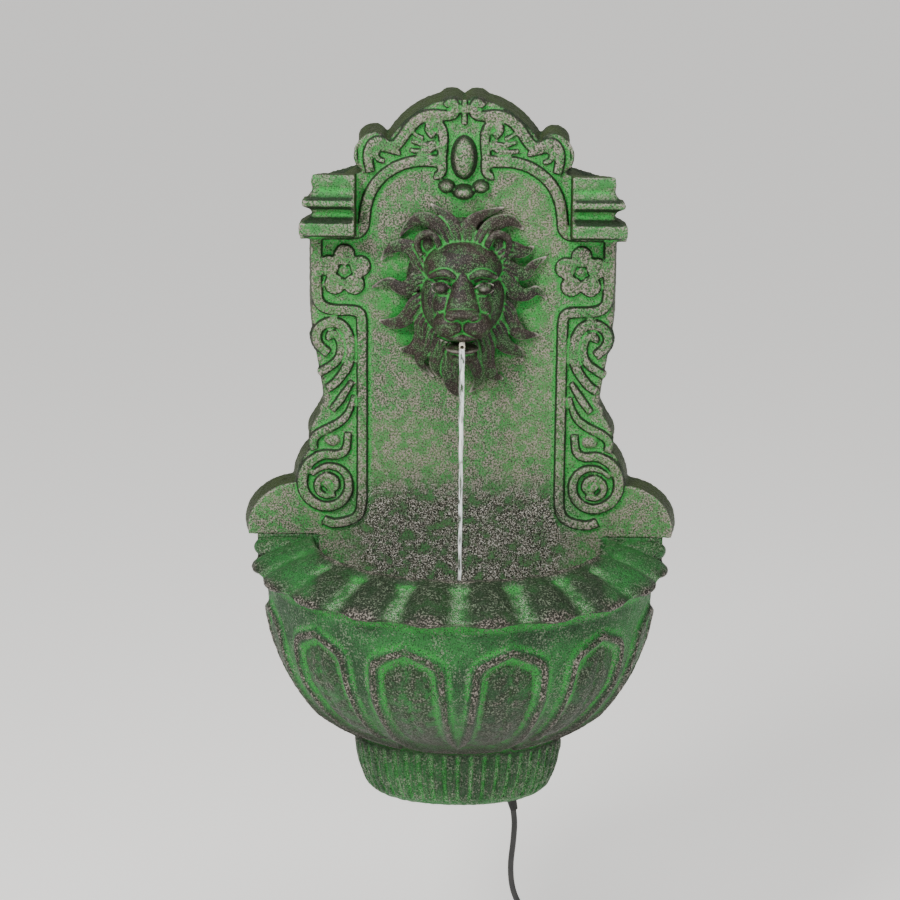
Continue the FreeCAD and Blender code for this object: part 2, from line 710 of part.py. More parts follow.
def hanger_plate(x):
    plate = box(x - HANGER_W / 2, x + HANGER_W / 2, -HANGER_T, 0,
                HANGER_HEIGHT - HANGER_L / 2, HANGER_HEIGHT + HANGER_L / 2)
    top = HANGER_HEIGHT + KEYHOLE_SLOT_L
    entry = rod(V(x, -5, HANGER_HEIGHT), V(x, 5, HANGER_HEIGHT), KEYHOLE_R)
    slot = box(x - KEYHOLE_SLOT_W / 2, x + KEYHOLE_SLOT_W / 2, -5, 5, HANGER_HEIGHT, top)
    end = rod(V(x, -5, top), V(x, 5, top), KEYHOLE_SLOT_W / 2)
    screw_holes = [hanger_screw(x, z, HOLE_GAP / 2) for z in screw_heights()]
    return cut_all(plate, [entry.fuse([slot, end])] + screw_holes)


def hanger_screw(x, z, gap=0.0):
    """A countersunk screw, flush with the back of its plate."""
    head = cone_rod(V(x, 0, z), V(x, -HANGER_T, z), HANGER_SCREW_R * 2 + gap, HANGER_SCREW_R + gap)
    return head.fuse(rod(V(x, -HANGER_T, z), V(x, -HANGER_SCREW_L, z), HANGER_SCREW_R + gap))


def joining_bolt(x):
    top = PANEL_WALL
    dome = ball(V(x, BOLT_Y, top - BOLT_HEAD_R + BOLT_HEAD_T), BOLT_HEAD_R)
    head = dome.common(box(x - 10, x + 10, BOLT_Y - 10, BOLT_Y + 10, top, top + 10))
    return head.fuse(rod(V(x, BOLT_Y, top), V(x, BOLT_Y, top - BOLT_L), BOLT_R))


def joining_washer(x):
    top = LEDGE_UNDER
    ring = rod(V(x, BOLT_Y, top), V(x, BOLT_Y, top - WASHER_T), WASHER_R)
    return ring.cut(rod(V(x, BOLT_Y, top + 1), V(x, BOLT_Y, top - 5), BOLT_R + RUN_GAP))


def wing_nut(x):
    top = LEDGE_UNDER - WASHER_T
    hub = cone_rod(V(x, BOLT_Y, top), V(x, BOLT_Y, top - NUT_T), NUT_R, NUT_R - 1.5)
    wings = []
    for side in (-1, 1):
        blade = Part.makeCylinder(WING_H / 2, 2.2, V(x + side * (WING_SPAN - WING_H / 2), BOLT_Y - 1.1,
                                                     top - NUT_T - 0.5), V(0, 1, 0))
        web = box(min(x, x + side * (WING_SPAN - 4)), max(x, x + side * (WING_SPAN - 4)),
                  BOLT_Y - 1.1, BOLT_Y + 1.1, top - NUT_T, top - 2)
        wings += [blade, web]
    return hub.multiFuse(wings).cut(rod(V(x, BOLT_Y, top + 1), V(x, BOLT_Y, top - 20), BOLT_R + PRESS_GAP))


def on_spout(y):
    return V(0, y, SPOUT_HEIGHT)


def spout_elbow():
    """Threaded elbow: a flange behind the panel's skin, and a spigot down for the hose."""
    front = -FIELD_DEPTH - SPOUT_SOCKET + 2
    corner = V(0, HOSE_Y, SPOUT_HEIGHT)
    shoulder = V(0, HOSE_Y, SPOUT_HEIGHT - ELBOW_DROP + HOSE_LAP + SEAT_GAP)
    end = V(0, HOSE_Y, SPOUT_HEIGHT - ELBOW_DROP)
    body = rod(corner, on_spout(front), ELBOW_R).multiFuse([
        ball(corner, ELBOW_R), rod(corner, shoulder, ELBOW_R), rod(shoulder, end, HOSE_BORE_R - PRESS_GAP),
        rod(on_spout(CLIP_SKIN), on_spout(CLIP_SKIN + FLANGE_T), FLANGE_R)])
    bores = rod(corner, on_spout(front), ELBOW_BORE_R).multiFuse([
        ball(corner, ELBOW_BORE_R), rod(corner, end - V(0, 0, 1), ELBOW_BORE_R),
        rod(on_spout(front - 1), on_spout(front + SPOUT_SOCKET), SPOUT_R + PRESS_GAP)])
    return body.cut(bores)


def spout_tube():
    start = -FIELD_DEPTH + 2 - SEAT_GAP
    tube_out = rod(on_spout(start), on_spout(-SPOUT_TIP), SPOUT_R)
    return tube_out.cut(rod(on_spout(start + 1), on_spout(-SPOUT_TIP - 1), SPOUT_BORE_R))


def spout_lock_nut():
    corners = [V(LOCK_NUT_R * cos(pi * k / 3), 0, LOCK_NUT_R * sin(pi * k / 3)) for k in range(7)]
    face = Part.Face(Part.makePolygon(corners))
    face.translate(on_spout(-FIELD_DEPTH))
    nut = face.extrude(V(0, -LOCK_NUT_T, 0))
    return nut.cut(rod(on_spout(0), on_spout(-100), ELBOW_R + PRESS_GAP))


def riser_hose():
    wire = route_wire(HOSE_ROUTE, "riser hose")
    return tube(wire, HOSE_R).cut(tube(wire, HOSE_BORE_R))


def clip_screw_spots():
    return [(CLIP_SCREW_X, z) for z in CLIP_HEIGHTS]


def hose_clip(z):
    """A P-clip: a ring round the hose, on a foot and an ear that lie on the panel's skin."""
    low, high = z - CLIP_W / 2, z + CLIP_W / 2
    ring = rod(V(0, HOSE_Y, low), V(0, HOSE_Y, high), HOSE_R + CLIP_T)
    foot = box(-5, 5, CLIP_SKIN, HOSE_Y - HOSE_R, low, high)
    ear = box(0, CLIP_SCREW_X + 5, CLIP_SKIN, CLIP_SKIN + CLIP_T, low, high)
    bore = rod(V(0, HOSE_Y, low - 1), V(0, HOSE_Y, high + 1), HOSE_R + CLIP_BORE_GAP)
    hole = rod(V(CLIP_SCREW_X, 0, z), V(CLIP_SCREW_X, -60, z), CLIP_SCREW_R + PRESS_GAP)
    return ring.multiFuse([foot, ear]).cut(bore).cut(hole)


def clip_screw(z):
    seat = CLIP_SKIN + CLIP_T
    head = cone_rod(V(CLIP_SCREW_X, seat, z), V(CLIP_SCREW_X, seat + 2, z), CLIP_SCREW_HEAD_R, 2.4)
    return head.fuse(rod(V(CLIP_SCREW_X, seat, z), V(CLIP_SCREW_X, CLIP_SKIN - CLIP_SCREW_L + 0.5, z),
                         CLIP_SCREW_R))


def along(distance):
    """A point on the pump's axis, by its distance from the rear face."""
    return V(PUMP_REAR_X - distance, PUMP_Y, PUMP_AXIS)


def pump_block(start, end, width, height, corner):
    block = box(PUMP_REAR_X - end, PUMP_REAR_X - start, PUMP_Y - width / 2, PUMP_Y + width / 2,
                PUMP_AXIS - height / 2, PUMP_AXIS + height / 2)
    long_edges = [edge for edge in block.Edges if abs(edge.tangentAt(0).x) > 0.9]
    return block.makeFillet(corner, long_edges)


def cup_spots():
    return [(PUMP_REAR_X - d, PUMP_Y + side * 11) for d in (8, 40) for side in (-1, 1)]


def pump_body():
    head_end = MOTOR_L + HEAD_L
    body = pump_block(0, head_end, PUMP_W, PUMP_H, PUMP_CORNER_R)
    top = PUMP_AXIS + PUMP_H / 2
    body = body.fuse(rod(V(SPIGOT_X, PUMP_Y, top - 1), V(SPIGOT_X, PUMP_Y, top + SPIGOT_L),
                         HOSE_BORE_R - PRESS_GAP))
    cutters = [
        rod(along(WELL_START - BUSH_T), along(head_end), BUSH_R + PRESS_GAP),
        rod(along(WELL_START), along(head_end), WELL_R),
        rod(along(MOTOR_L), along(head_end + 1), CHAMBER_R),
        rod(along(head_end - CHAMBER_LID_T), along(head_end + 1), CHAMBER_LID_R + PRESS_GAP),
        rod(V(SPIGOT_X, PUMP_Y, PUMP_AXIS), V(SPIGOT_X, PUMP_Y, top + SPIGOT_L + 1), SPIGOT_BORE_R),
        tube(route_wire(LEAD_ROUTE, "pump bore"), CORD_R + PRESS_GAP)]
    for x, y in cup_spots():
        cutters.append(rod(V(x, y, PUMP_FOOT - 1), V(x, y, PUMP_FOOT + 2.6), CUP_STEM_R + PRESS_GAP))
    for cutter in cutters:
        body = body.cut(cutter)
    return body


def suction_cup(x, y):
    skirt = cone_rod(V(x, y, SUMP_FLOOR), V(x, y, PUMP_FOOT - 2), CUP_R, CUP_R / 2)
    neck = rod(V(x, y, PUMP_FOOT - 2), V(x, y, PUMP_FOOT), CUP_R / 2)
    return skirt.multiFuse([neck, rod(V(x, y, PUMP_FOOT - 2), V(x, y, PUMP_FOOT + 2.3), CUP_STEM_R)])


def rotor_bush(start, end):
    bush = rod(along(start), along(end), BUSH_R)
    return bush.cut(rod(along(start - 1), along(end + 1), SHAFT_R + PRESS_GAP))


def rotor_shaft():
    return rod(along(WELL_START - BUSH_T + SEAT_GAP), along(MOTOR_L + HEAD_L - SEAT_GAP), SHAFT_R)


def rotor_magnet():
    magnet = rod(along(MAGNET_START), along(MOTOR_L), MAGNET_R)
    return magnet.cut(rod(along(0), along(80), SHAFT_R + RUN_GAP))


def impeller():
    """Straight radial vanes on a hub that turns with the magnet."""
    end = MOTOR_L + HEAD_L - CHAMBER_LID_T - 1
    hub = rod(along(MOTOR_L), along(end), HUB_R)
    vanes = []
    for index in range(VANES):
        vane = box(PUMP_REAR_X - end, PUMP_REAR_X - MOTOR_L - 1, PUMP_Y - VANE_T / 2, PUMP_Y + VANE_T / 2,
                   PUMP_AXIS + HUB_R - 1, PUMP_AXIS + IMPELLER_R)
        vane.rotate(along(0), V(1, 0, 0), 360.0 * index / VANES)
        vanes.append(vane)
    return hub.multiFuse(vanes).cut(rod(along(0), along(80), SHAFT_R + RUN_GAP))


def impeller_cover():
    """The chamber's lid: a ring of inlet openings round the front bush."""
    end = MOTOR_L + HEAD_L
    start = end - CHAMBER_LID_T
    lid = rod(along(start), along(end), CHAMBER_LID_R)
    inlet = rod(along(start - 1), along(end + 1), INLET_R)
    inlet = inlet.cut(rod(along(start - 1), along(end + 1), BUSH_R + 1.5))
    for index in range(SPOKES):
        spoke = box(PUMP_REAR_X - end - 1, PUMP_REAR_X - start + 1, PUMP_Y - 1, PUMP_Y + 1,
                    PUMP_AXIS, PUMP_AXIS + CHAMBER_LID_R)
        spoke.rotate(along(0), V(1, 0, 0), 360.0 * index / SPOKES)
        inlet = inlet.cut(spoke)
    return lid.cut(inlet).cut(rod(along(start - 1), along(end + 1), BUSH_R + PRESS_GAP))


def pump_front_cover():
    """The strainer: a slotted cap with a window, and two rails that hold the flow slider."""
    start = MOTOR_L + HEAD_L
    end = start + COVER_L
    cap = pump_block(start, end, PUMP_W, PUMP_H, PUMP_CORNER_R)
    inside = pump_block(start - 1, end - PLASTIC_WALL, PUMP_W - 2 * PLASTIC_WALL,
                        PUMP_H - 2 * PLASTIC_WALL, PUMP_CORNER_R - PLASTIC_WALL)
    cap = cap.cut(inside)
    front = PUMP_REAR_X - end
    slots = []
    for index in range(-4, 5):
        y = PUMP_Y + index * SLOT_PITCH
        tall = abs(index) * SLOT_PITCH > SLIDER_W / 2 + RAIL_T + SLOT_W / 2
        low = -PUMP_H / 2 + 6 if tall else PUMP_H / 2 - 10
        slots.append(box(front - 1, front + PLASTIC_WALL + 1, y - SLOT_W / 2, y + SLOT_W / 2,
                         PUMP_AXIS + low, PUMP_AXIS + PUMP_H / 2 - 5))
    slots.append(box(front - 1, front + PLASTIC_WALL + 1, PUMP_Y - WINDOW_W / 2, PUMP_Y + WINDOW_W / 2,
                     slider_low() + 3, slider_low() + 3 + WINDOW_H))
    cap = cut_all(cap, slots)
    rails = []
    inner = SLIDER_W / 2 + SEAT_GAP
    depth = SLIDER_T + 2 * SEAT_GAP
    low_stop = slider_low() - SEAT_GAP - STOP_T
    high_stop = slider_low() + SLIDER_H + SLIDER_TRAVEL + SEAT_GAP + STOP_T
    for side in (-1, 1):
        near, far = sorted((PUMP_Y + side * inner, PUMP_Y + side * (inner + RAIL_T)))
        lip_near, lip_far = sorted((PUMP_Y + side * (inner - 1.5), PUMP_Y + side * (inner + RAIL_T)))
        rails.append(box(front - depth, front, near, far, low_stop, high_stop))
        rails.append(box(front - depth - 1, front - depth, lip_near, lip_far, low_stop, high_stop))
    for stop in (low_stop, high_stop - STOP_T):
        rails.append(box(front - depth, front, PUMP_Y - inner, PUMP_Y + inner, stop, stop + STOP_T))
    return cap.multiFuse(rails)


def slider_low():
    return PUMP_AXIS - PUMP_H / 2 + 3


def flow_slider():
    front = PUMP_REAR_X - MOTOR_L - HEAD_L - COVER_L - SEAT_GAP
    low = slider_low()
    plate = box(front - SLIDER_T, front, PUMP_Y - SLIDER_W / 2, PUMP_Y + SLIDER_W / 2, low, low + SLIDER_H)
    thumb = box(front - SLIDER_T - 2, front - SLIDER_T, PUMP_Y - 3.5, PUMP_Y + 3.5, low + 6, low + 8)
    return plate.fuse(thumb)


def filter_sponge():
    start = MOTOR_L + HEAD_L + SEAT_GAP
    gap = 2 * PLASTIC_WALL + 2 * SEAT_GAP
    return pump_block(start, start + 6, PUMP_W - gap, PUMP_H - gap, PUMP_CORNER_R - PLASTIC_WALL)


def pump_cord_boot():
    z = LEAD_ROUTE[0][2]
    boot = cone_rod(V(PUMP_REAR_X, PUMP_Y, z), V(PUMP_REAR_X + 12, PUMP_Y, z), 6.0, 4.8)
    return boot.cut(tube(route_wire(LEAD_ROUTE, "lead bore"), CORD_R + PRESS_GAP))


def cord_grommet():
    """The rubber stopper in the foot's floor, with its tapered strain relief below."""
    spots = [V(GROMMET_X, GROMMET_Y, z) for z in (
        SUMP_FLOOR + GROMMET_FLANGE_T, SUMP_FLOOR, FOOT_BOTTOM, CORD_EXIT)]
    lean = V(*CORD_ROUTE[1]) - V(*CORD_ROUTE[0])
    relief_tip = spots[3] + lean * (RELIEF_L / lean.Length)
    plug = rod(spots[0], spots[1], GROMMET_FLANGE_R).multiFuse([
        rod(spots[1], spots[2], GROMMET_R), rod(spots[2], spots[3], GROMMET_FLANGE_R),
        cone_rod(spots[3] - lean * (1.0 / lean.Length), relief_tip, RELIEF_R, CORD_R + 1)])
    bores = [tube(route_wire(LEAD_ROUTE, "grommet bore"), CORD_R + PRESS_GAP),
             tube(route_wire(CORD_ROUTE, "relief bore"), CORD_R + PRESS_GAP)]
    return plug.cut(bores[0]).cut(bores[1])


def coil():
    """The outer shape of the tied coil: two rings of turns, three deep."""
    corners = [V(COIL_IN_R, -COIL_W / 2, 0), V(COIL_OUT_R, -COIL_W / 2, 0),
               V(COIL_OUT_R, COIL_W / 2, 0), V(COIL_IN_R, COIL_W / 2, 0)]
    profile = Part.Face(Part.makePolygon(corners + corners[:1]))
    ring = profile.revolve(V(0, 0, 0), V(0, 1, 0), 360)
    ring.translate(V(COIL_X, COIL_Y, COIL_Z))
    return ring


def cord_tie():
    x = COIL_X
    gap = SEAT_GAP
    band = box(x - COIL_OUT_R - gap - TIE_T, x - COIL_IN_R + gap + TIE_T,
               COIL_Y - COIL_W / 2 - gap - TIE_T, COIL_Y + COIL_W / 2 + gap + TIE_T,
               COIL_Z - TIE_W / 2, COIL_Z + TIE_W / 2)
    return band.cut(box(x - COIL_OUT_R - gap, x - COIL_IN_R + gap, COIL_Y - COIL_W / 2 - gap,
                        COIL_Y + COIL_W / 2 + gap, COIL_Z - TIE_W, COIL_Z + TIE_W))


def plug_body():
    """A moulded plug that hangs from the cord's end, with a round neck and a wider grip."""
    x, y, z = TAIL_ROUTE[-1]
    neck = cone_rod(V(x, y, z + PLUG_NECK_RISE), V(x, y, z - 6), PLUG_NECK_R, PLUG_NECK_R * 1.5)
    grip = box(x - PLUG_W / 2, x + PLUG_W / 2, y - PLUG_T / 2, y + PLUG_T / 2, z - PLUG_L, z - 4)
    grip = grip.makeFillet(4.0, [edge for edge in grip.Edges if abs(edge.tangentAt(0).z) > 0.9])
    bore = tube(route_wire(TAIL_ROUTE, "plug bore"), CORD_R + PRESS_GAP)
    return neck.fuse(grip).cut(bore)


def plug_blades():
    x, y, z = TAIL_ROUTE[-1]
    face = z - PLUG_L
    row = y - BLADE_SETBACK
    pin_y = row + EARTH_PIN_PITCH
    blades = []
    for side in (-1, 1):
        middle = x + side * BLADE_SPACING / 2
        blades.append(box(middle - BLADE_T / 2, middle + BLADE_T / 2,
                          row - BLADE_W / 2, row + BLADE_W / 2, face - BLADE_L, face))
    pin = rod(V(x, pin_y, face), V(x, pin_y, face - EARTH_PIN_L), EARTH_PIN_R)
    return group(blades + [pin])


def save(name, shape):
    moved = shape.copy()
    moved.translate(V(0, 0, -HANGER_HEIGHT))
    moved.exportStep("parts/" + name + ".step")
    print(name, len(moved.Solids), "solids", round(moved.Volume / 1000, 1), "cm3", moved.isValid())


def group(shapes):
    return Part.makeCompound(shapes)


def main():
    os.makedirs("parts", exist_ok=True)
    hangers = (-HANGER_SPACING / 2, HANGER_SPACING / 2)
    bolts = (-BOLT_X, BOLT_X)
    head_end = MOTOR_L + HEAD_L
    ring = coil()
    cord_wire = route_wire(CORD_ROUTE, "power cord")
    tail_wire = route_wire(TAIL_ROUTE, "cord tail")
    save("hanger_plate_left", hanger_plate(hangers[0]))
    save("hanger_plate_right", hanger_plate(hangers[1]))
    save("hanger_screws", group([hanger_screw(x, z) for x in hangers for z in screw_heights()]))
    save("joining_bolts", group([joining_bolt(x) for x in bolts]))
    save("joining_washers", group([joining_washer(x) for x in bolts]))
    save("wing_nuts", group([wing_nut(x) for x in bolts]))
    save("spout_tube", spout_tube())
    save("spout_elbow", spout_elbow())
    save("spout_lock_nut", spout_lock_nut())
    save("riser_hose", riser_hose())
    save("hose_clips", group([hose_clip(z) for z in CLIP_HEIGHTS]))
    save("clip_screws", group([clip_screw(z) for z in CLIP_HEIGHTS]))
    save("pump_body", pump_body())
    save("suction_cups", group([suction_cup(x, y) for x, y in cup_spots()]))
    save("rotor_bush_rear", rotor_bush(WELL_START - BUSH_T, WELL_START))
    save("rotor_bush_front", rotor_bush(head_end - CHAMBER_LID_T, head_end))
    save("rotor_shaft", rotor_shaft())
    save("rotor_magnet", rotor_magnet())
    save("impeller", impeller())
    save("impeller_cover", impeller_cover())
    save("pump_front_cover", pump_front_cover())
    save("flow_slider", flow_slider())
    save("filter_sponge", filter_sponge())
    save("pump_cord_boot", pump_cord_boot())
    save("pump_lead", tube(route_wire(LEAD_ROUTE, "pump lead"), CORD_R))
    save("cord_grommet", cord_grommet())
    save("power_cord", tube(cord_wire, CORD_R).cut(ring))
    save("power_cord_coil", ring)
    save("power_cord_tail", tube(tail_wire, CORD_R).cut(ring))
    save("cord_tie", cord_tie())
    save("plug_body", plug_body())
    save("plug_blades", plug_blades())
    save("back_panel", back_panel())
    save("lion_mask", lion_mask())
    save("basin", basin())


main()
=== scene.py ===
# %% [markdown]
# # A garden wall fountain in green cast resin
# The fountain hangs on a wall: a carved back panel with a lion mask stands on a half-round basin.
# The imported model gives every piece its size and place. These cells give the castings their carving
# and finish, the lead its line, and the small parts their materials.

# %% Load the frame
import json
from math import cos, exp, hypot, log, pi, radians, sin

import bmesh
import bpy
import numpy as np
from mathutils import Matrix, Vector, noise
from mathutils.kdtree import KDTree


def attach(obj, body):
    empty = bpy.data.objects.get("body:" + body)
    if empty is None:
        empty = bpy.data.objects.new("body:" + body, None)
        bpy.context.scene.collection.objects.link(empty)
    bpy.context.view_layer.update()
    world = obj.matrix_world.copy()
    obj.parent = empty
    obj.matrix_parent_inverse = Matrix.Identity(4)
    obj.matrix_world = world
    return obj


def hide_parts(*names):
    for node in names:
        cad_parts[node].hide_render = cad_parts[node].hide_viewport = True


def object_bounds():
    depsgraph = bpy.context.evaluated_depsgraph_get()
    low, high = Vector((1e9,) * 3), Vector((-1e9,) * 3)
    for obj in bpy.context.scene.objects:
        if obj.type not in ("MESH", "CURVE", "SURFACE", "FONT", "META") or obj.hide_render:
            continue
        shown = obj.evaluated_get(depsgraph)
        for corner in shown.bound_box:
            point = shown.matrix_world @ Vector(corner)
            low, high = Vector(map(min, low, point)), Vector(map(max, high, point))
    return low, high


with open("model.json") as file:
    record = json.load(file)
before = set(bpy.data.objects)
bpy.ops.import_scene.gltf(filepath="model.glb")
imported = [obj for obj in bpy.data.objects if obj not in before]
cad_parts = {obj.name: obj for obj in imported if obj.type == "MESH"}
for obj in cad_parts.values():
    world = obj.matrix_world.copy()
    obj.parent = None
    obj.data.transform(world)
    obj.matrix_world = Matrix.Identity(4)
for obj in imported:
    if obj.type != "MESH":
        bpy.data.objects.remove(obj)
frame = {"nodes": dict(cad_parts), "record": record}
cad_low, cad_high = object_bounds()
print("nodes", len(frame["nodes"]), "box", [round(s, 3) for s in cad_high - cad_low])

# %% [markdown]
# Sizes on the castings are easiest to read from the basin's rim, as a maker would measure them, in
# millimetres. The frame's origin is midway between the keyholes, 330 mm above that rim, so one small
# function turns a rim measurement into a place in the frame. FIELD is the depth of the panel's flat
# front, on which all of the carving lies.

# %% Places measured from the rim
MM = 0.001
HANGER_HEIGHT = 330.0
FIELD = -40.0


def spot(x, y, z):
    return Vector((x, y, z - HANGER_HEIGHT)) * MM


def level(z):
    """The frame's height of a place measured from the rim."""
    return spot(0, 0, z).z


def from_rim(place):
    """The measurements that spot would turn into this place."""
    return place.x / MM, place.y / MM, place.z / MM + HANGER_HEIGHT


def sized(centre, size):
    """Puts a unit shape at a place and gives it a size, in millimetres."""
    return Matrix.Translation(spot(*centre)) @ Matrix.Diagonal((*(length * MM for length in size), 1))


# %% Objects, meshes and round lines


def link(name, data):
    made = bpy.data.objects.new(name, data)
    bpy.context.scene.collection.objects.link(made)
    return made


def final_mesh(obj):
    bpy.context.view_layer.update()
    graph = bpy.context.evaluated_depsgraph_get()
    return bpy.data.meshes.new_from_object(obj.evaluated_get(graph))


def mesh_from(bm, name):
    mesh = bpy.data.meshes.new(name)
    bm.to_mesh(mesh)
    bm.free()
    return mesh


def only(kind, items):
    return [item for item in items if isinstance(item, kind)]


def cut_off(bm, depth, side):
    """Cuts away what lies past a depth in millimetres, and returns the edges of the cut's rim."""
    everything = bm.verts[:] + bm.edges[:] + bm.faces[:]
    cut = bmesh.ops.bisect_plane(bm, geom=everything, plane_co=(0, depth * MM, 0),
                                 plane_no=(0, side, 0), clear_outer=True)
    return only(bmesh.types.BMEdge, cut["geom_cut"])


def triangles(mesh):
    return sum(len(polygon.vertices) - 2 for polygon in mesh.polygons)


def round_line(name, points, radii, unit, around, along):
    """A smooth line through points measured from the rim, as thick as each radius times the unit."""
    curve = bpy.data.curves.new(name, "CURVE")
    curve.dimensions = "3D"
    curve.bevel_depth = unit
    curve.bevel_resolution = around
    curve.use_fill_caps = True
    spline = curve.splines.new("NURBS")
    spline.points.add(len(points) - 1)
    for target, point, radius in zip(spline.points, points, radii):
        target.co = (*spot(*point), 1.0)
        target.radius = radius
    spline.order_u = 3
    spline.use_endpoint_u = True
    spline.resolution_u = along
    return link(name, curve)


print("rim is at z", round(level(0), 3))

# %% [markdown]
# The camera stands a little above the fountain and looks down on the rim. Its tilt, distance and
# lens were fitted to the photograph, which also leans by about half a degree.

# %% Camera
CAMERA_TILT = 14.2
CAMERA_LEAN = 0.6
CAMERA_DISTANCE = 2400.0
FOCAL_PX = 2191.0
CENTRE_PX = 11.0
FRAME_PX = 900.0

camera = link("camera", bpy.data.cameras.new("camera"))
camera.data.sensor_width = 36.0
camera.data.lens = FOCAL_PX / FRAME_PX * camera.data.sensor_width
camera.data.shift_x = -CENTRE_PX / FRAME_PX
tilt = radians(CAMERA_TILT)
away = Vector((0, -cos(tilt), sin(tilt)))
middle = spot(0, -60, 104)
camera.location = middle + away * CAMERA_DISTANCE * MM
facing = (-away).to_track_quat("-Z", "Y")
camera.rotation_mode = "QUATERNION"
camera.rotation_quaternion = facing @ Matrix.Rotation(radians(CAMERA_LEAN), 3, "Z").to_quaternion()
bpy.context.scene.camera = camera
print("lens", round(camera.data.lens, 1))

# %% [markdown]
# The pump's lead leaves a rubber stopper under the foot, hangs in a lazy bend and ends in a tied coil
# with its plug. It is one smooth line through the same points as the model's tube, then six turns
# that lie beside and on each other, then the short tail into the plug.

# %% The lead's line
CORD_D = 7.0
FREE_RUN = [(60, -28, -309), (67, -28, -338), (66, -28, -370), (62, -29, -405), (66, -30, -437),
            (79, -31, -460)]
TAIL = [(115, -38, -512), (115, -46, -524), (115, -49, -536), (115, -49, -550)]
COIL_AT = (80.0, -512.4)
LAYERS = [(42, -31), (42, -24), (42, -17), (35, -17), (35, -24), (35, -31)]
COIL_START = 60.0
TURN_POINTS = 16
STEP_OVER = 0.14


def coil_points():
    """The turns run clockwise from the top right, and step to the next layer near the top."""
    total = 360.0 * len(LAYERS) + COIL_START
    steps = int(total / 360.0 * TURN_POINTS)
    points = []
    for step in range(steps):
        travelled = total * step / steps
        place = max(0.0, travelled - COIL_START / 2) / 360.0
        layer = min(int(place), len(LAYERS) - 1)
        after = min(layer + 1, len(LAYERS) - 1)
        share = min(1.0, max(0.0, (place - layer - (1 - STEP_OVER)) / STEP_OVER))
        radius, depth = (a * (1 - share) + b * share for a, b in zip(LAYERS[layer], LAYERS[after]))
        angle = radians(COIL_START - travelled)
        points.append((COIL_AT[0] + radius * cos(angle), depth, COIL_AT[1] + radius * sin(angle)))
    return points


def tube_curve(name, points, diameter):
    """A round tube. Its points carry the real radius, so that the curve's own box is right too."""
    radii = [diameter / 2 * MM] * len(points)
    return round_line(name, points, radii, unit=1.0 if diameter else 0.0, around=5, along=6)


def line_length(points):
    """The length of the spline itself, read from the curve with no bevel."""
    bare = tube_curve("measure", points, 0.0)
    mesh = final_mesh(bare)
    places = [vertex.co.copy() for vertex in mesh.vertices]
    bpy.data.objects.remove(bare)
    return sum((b - a).length for a, b in zip(places, places[1:]))


lead_points = FREE_RUN + coil_points() + TAIL
lead = tube_curve("lead", lead_points, CORD_D)
lead_length = line_length(lead_points)
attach(lead, "fountain")
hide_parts("power_cord", "power_cord_coil", "power_cord_tail")
print("lead", round(lead_length, 3), "m")

# %% [markdown]
# A material is a handful of nodes. One function adds a node, sets what is the same all over on the
# node's own sockets, and joins what varies. Colours are written as on a paint chart and turned to
# linear light by one function.

# %% Node and colour helpers


def colour(code):
    """An sRGB hex colour as linear red, green and blue."""
    channels = [int(code[i:i + 2], 16) / 255 for i in (1, 3, 5)]
    return [c / 12.92 if c <= 0.04045 else ((c + 0.055) / 1.055) ** 2.4 for c in channels] + [1.0]


def add(tree, kind, values=None, links=None, **settings):
    node = tree.nodes.new(kind)
    for key, value in settings.items():
        setattr(node, key, value)
    for key, value in (values or {}).items():
        node.inputs[key].default_value = value
    for key, source in (links or {}).items():
        tree.links.new(source, node.inputs[key])
    return node


def new_material(name):
    material = bpy.data.materials.new(name)
    material.use_nodes = True
    material.node_tree.nodes.clear()
    return material, material.node_tree


def per_mm(size):
    """The scale of a pattern whose features are this many millimetres apart."""
    return 1.0 / (size * MM)


def ramp(tree, source, low, high, start=0.0, end=1.0):
    """A soft step: start below low, end above high."""
    return add(tree, "ShaderNodeMapRange", {1: low, 2: high, 3: start, 4: end}, {0: source},
               interpolation_type="SMOOTHSTEP").outputs[0]


def times(tree, a, b):
    return add(tree, "ShaderNodeMath", links={0: a, 1: b}, operation="MULTIPLY").outputs[0]


def blended(tree, share, below, above):
    """One colour over another. Each is a socket, or a hex code."""
    node = add(tree, "ShaderNodeMix", data_type="RGBA")
    tree.links.new(share, node.inputs[0])
    for index, value in ((6, below), (7, above)):
        if isinstance(value, str):
            node.inputs[index].default_value = colour(value)
        else:
            tree.links.new(value, node.inputs[index])
    return node.outputs[2]


print("leaf green", [round(c, 3) for c in colour("#2f8a3e")])

# %% [markdown]
# The castings are stone-filled resin with a sandy skin. The maker paints them green, lets the paint
# pool in the hollows, and rubs grey and brown-black over the raised grains. So the finish follows the
# relief: each vertex carries how far it stands above the smoothed surface, and the colours read that.

# %% Cast resin finish
GRAIN = 2.0
DUST = 0.62 * GRAIN
PATCH = 14.0
BLOTCH = 75.0
WET_ROUGHNESS = 0.2
FACE_MIDDLE = 276.0


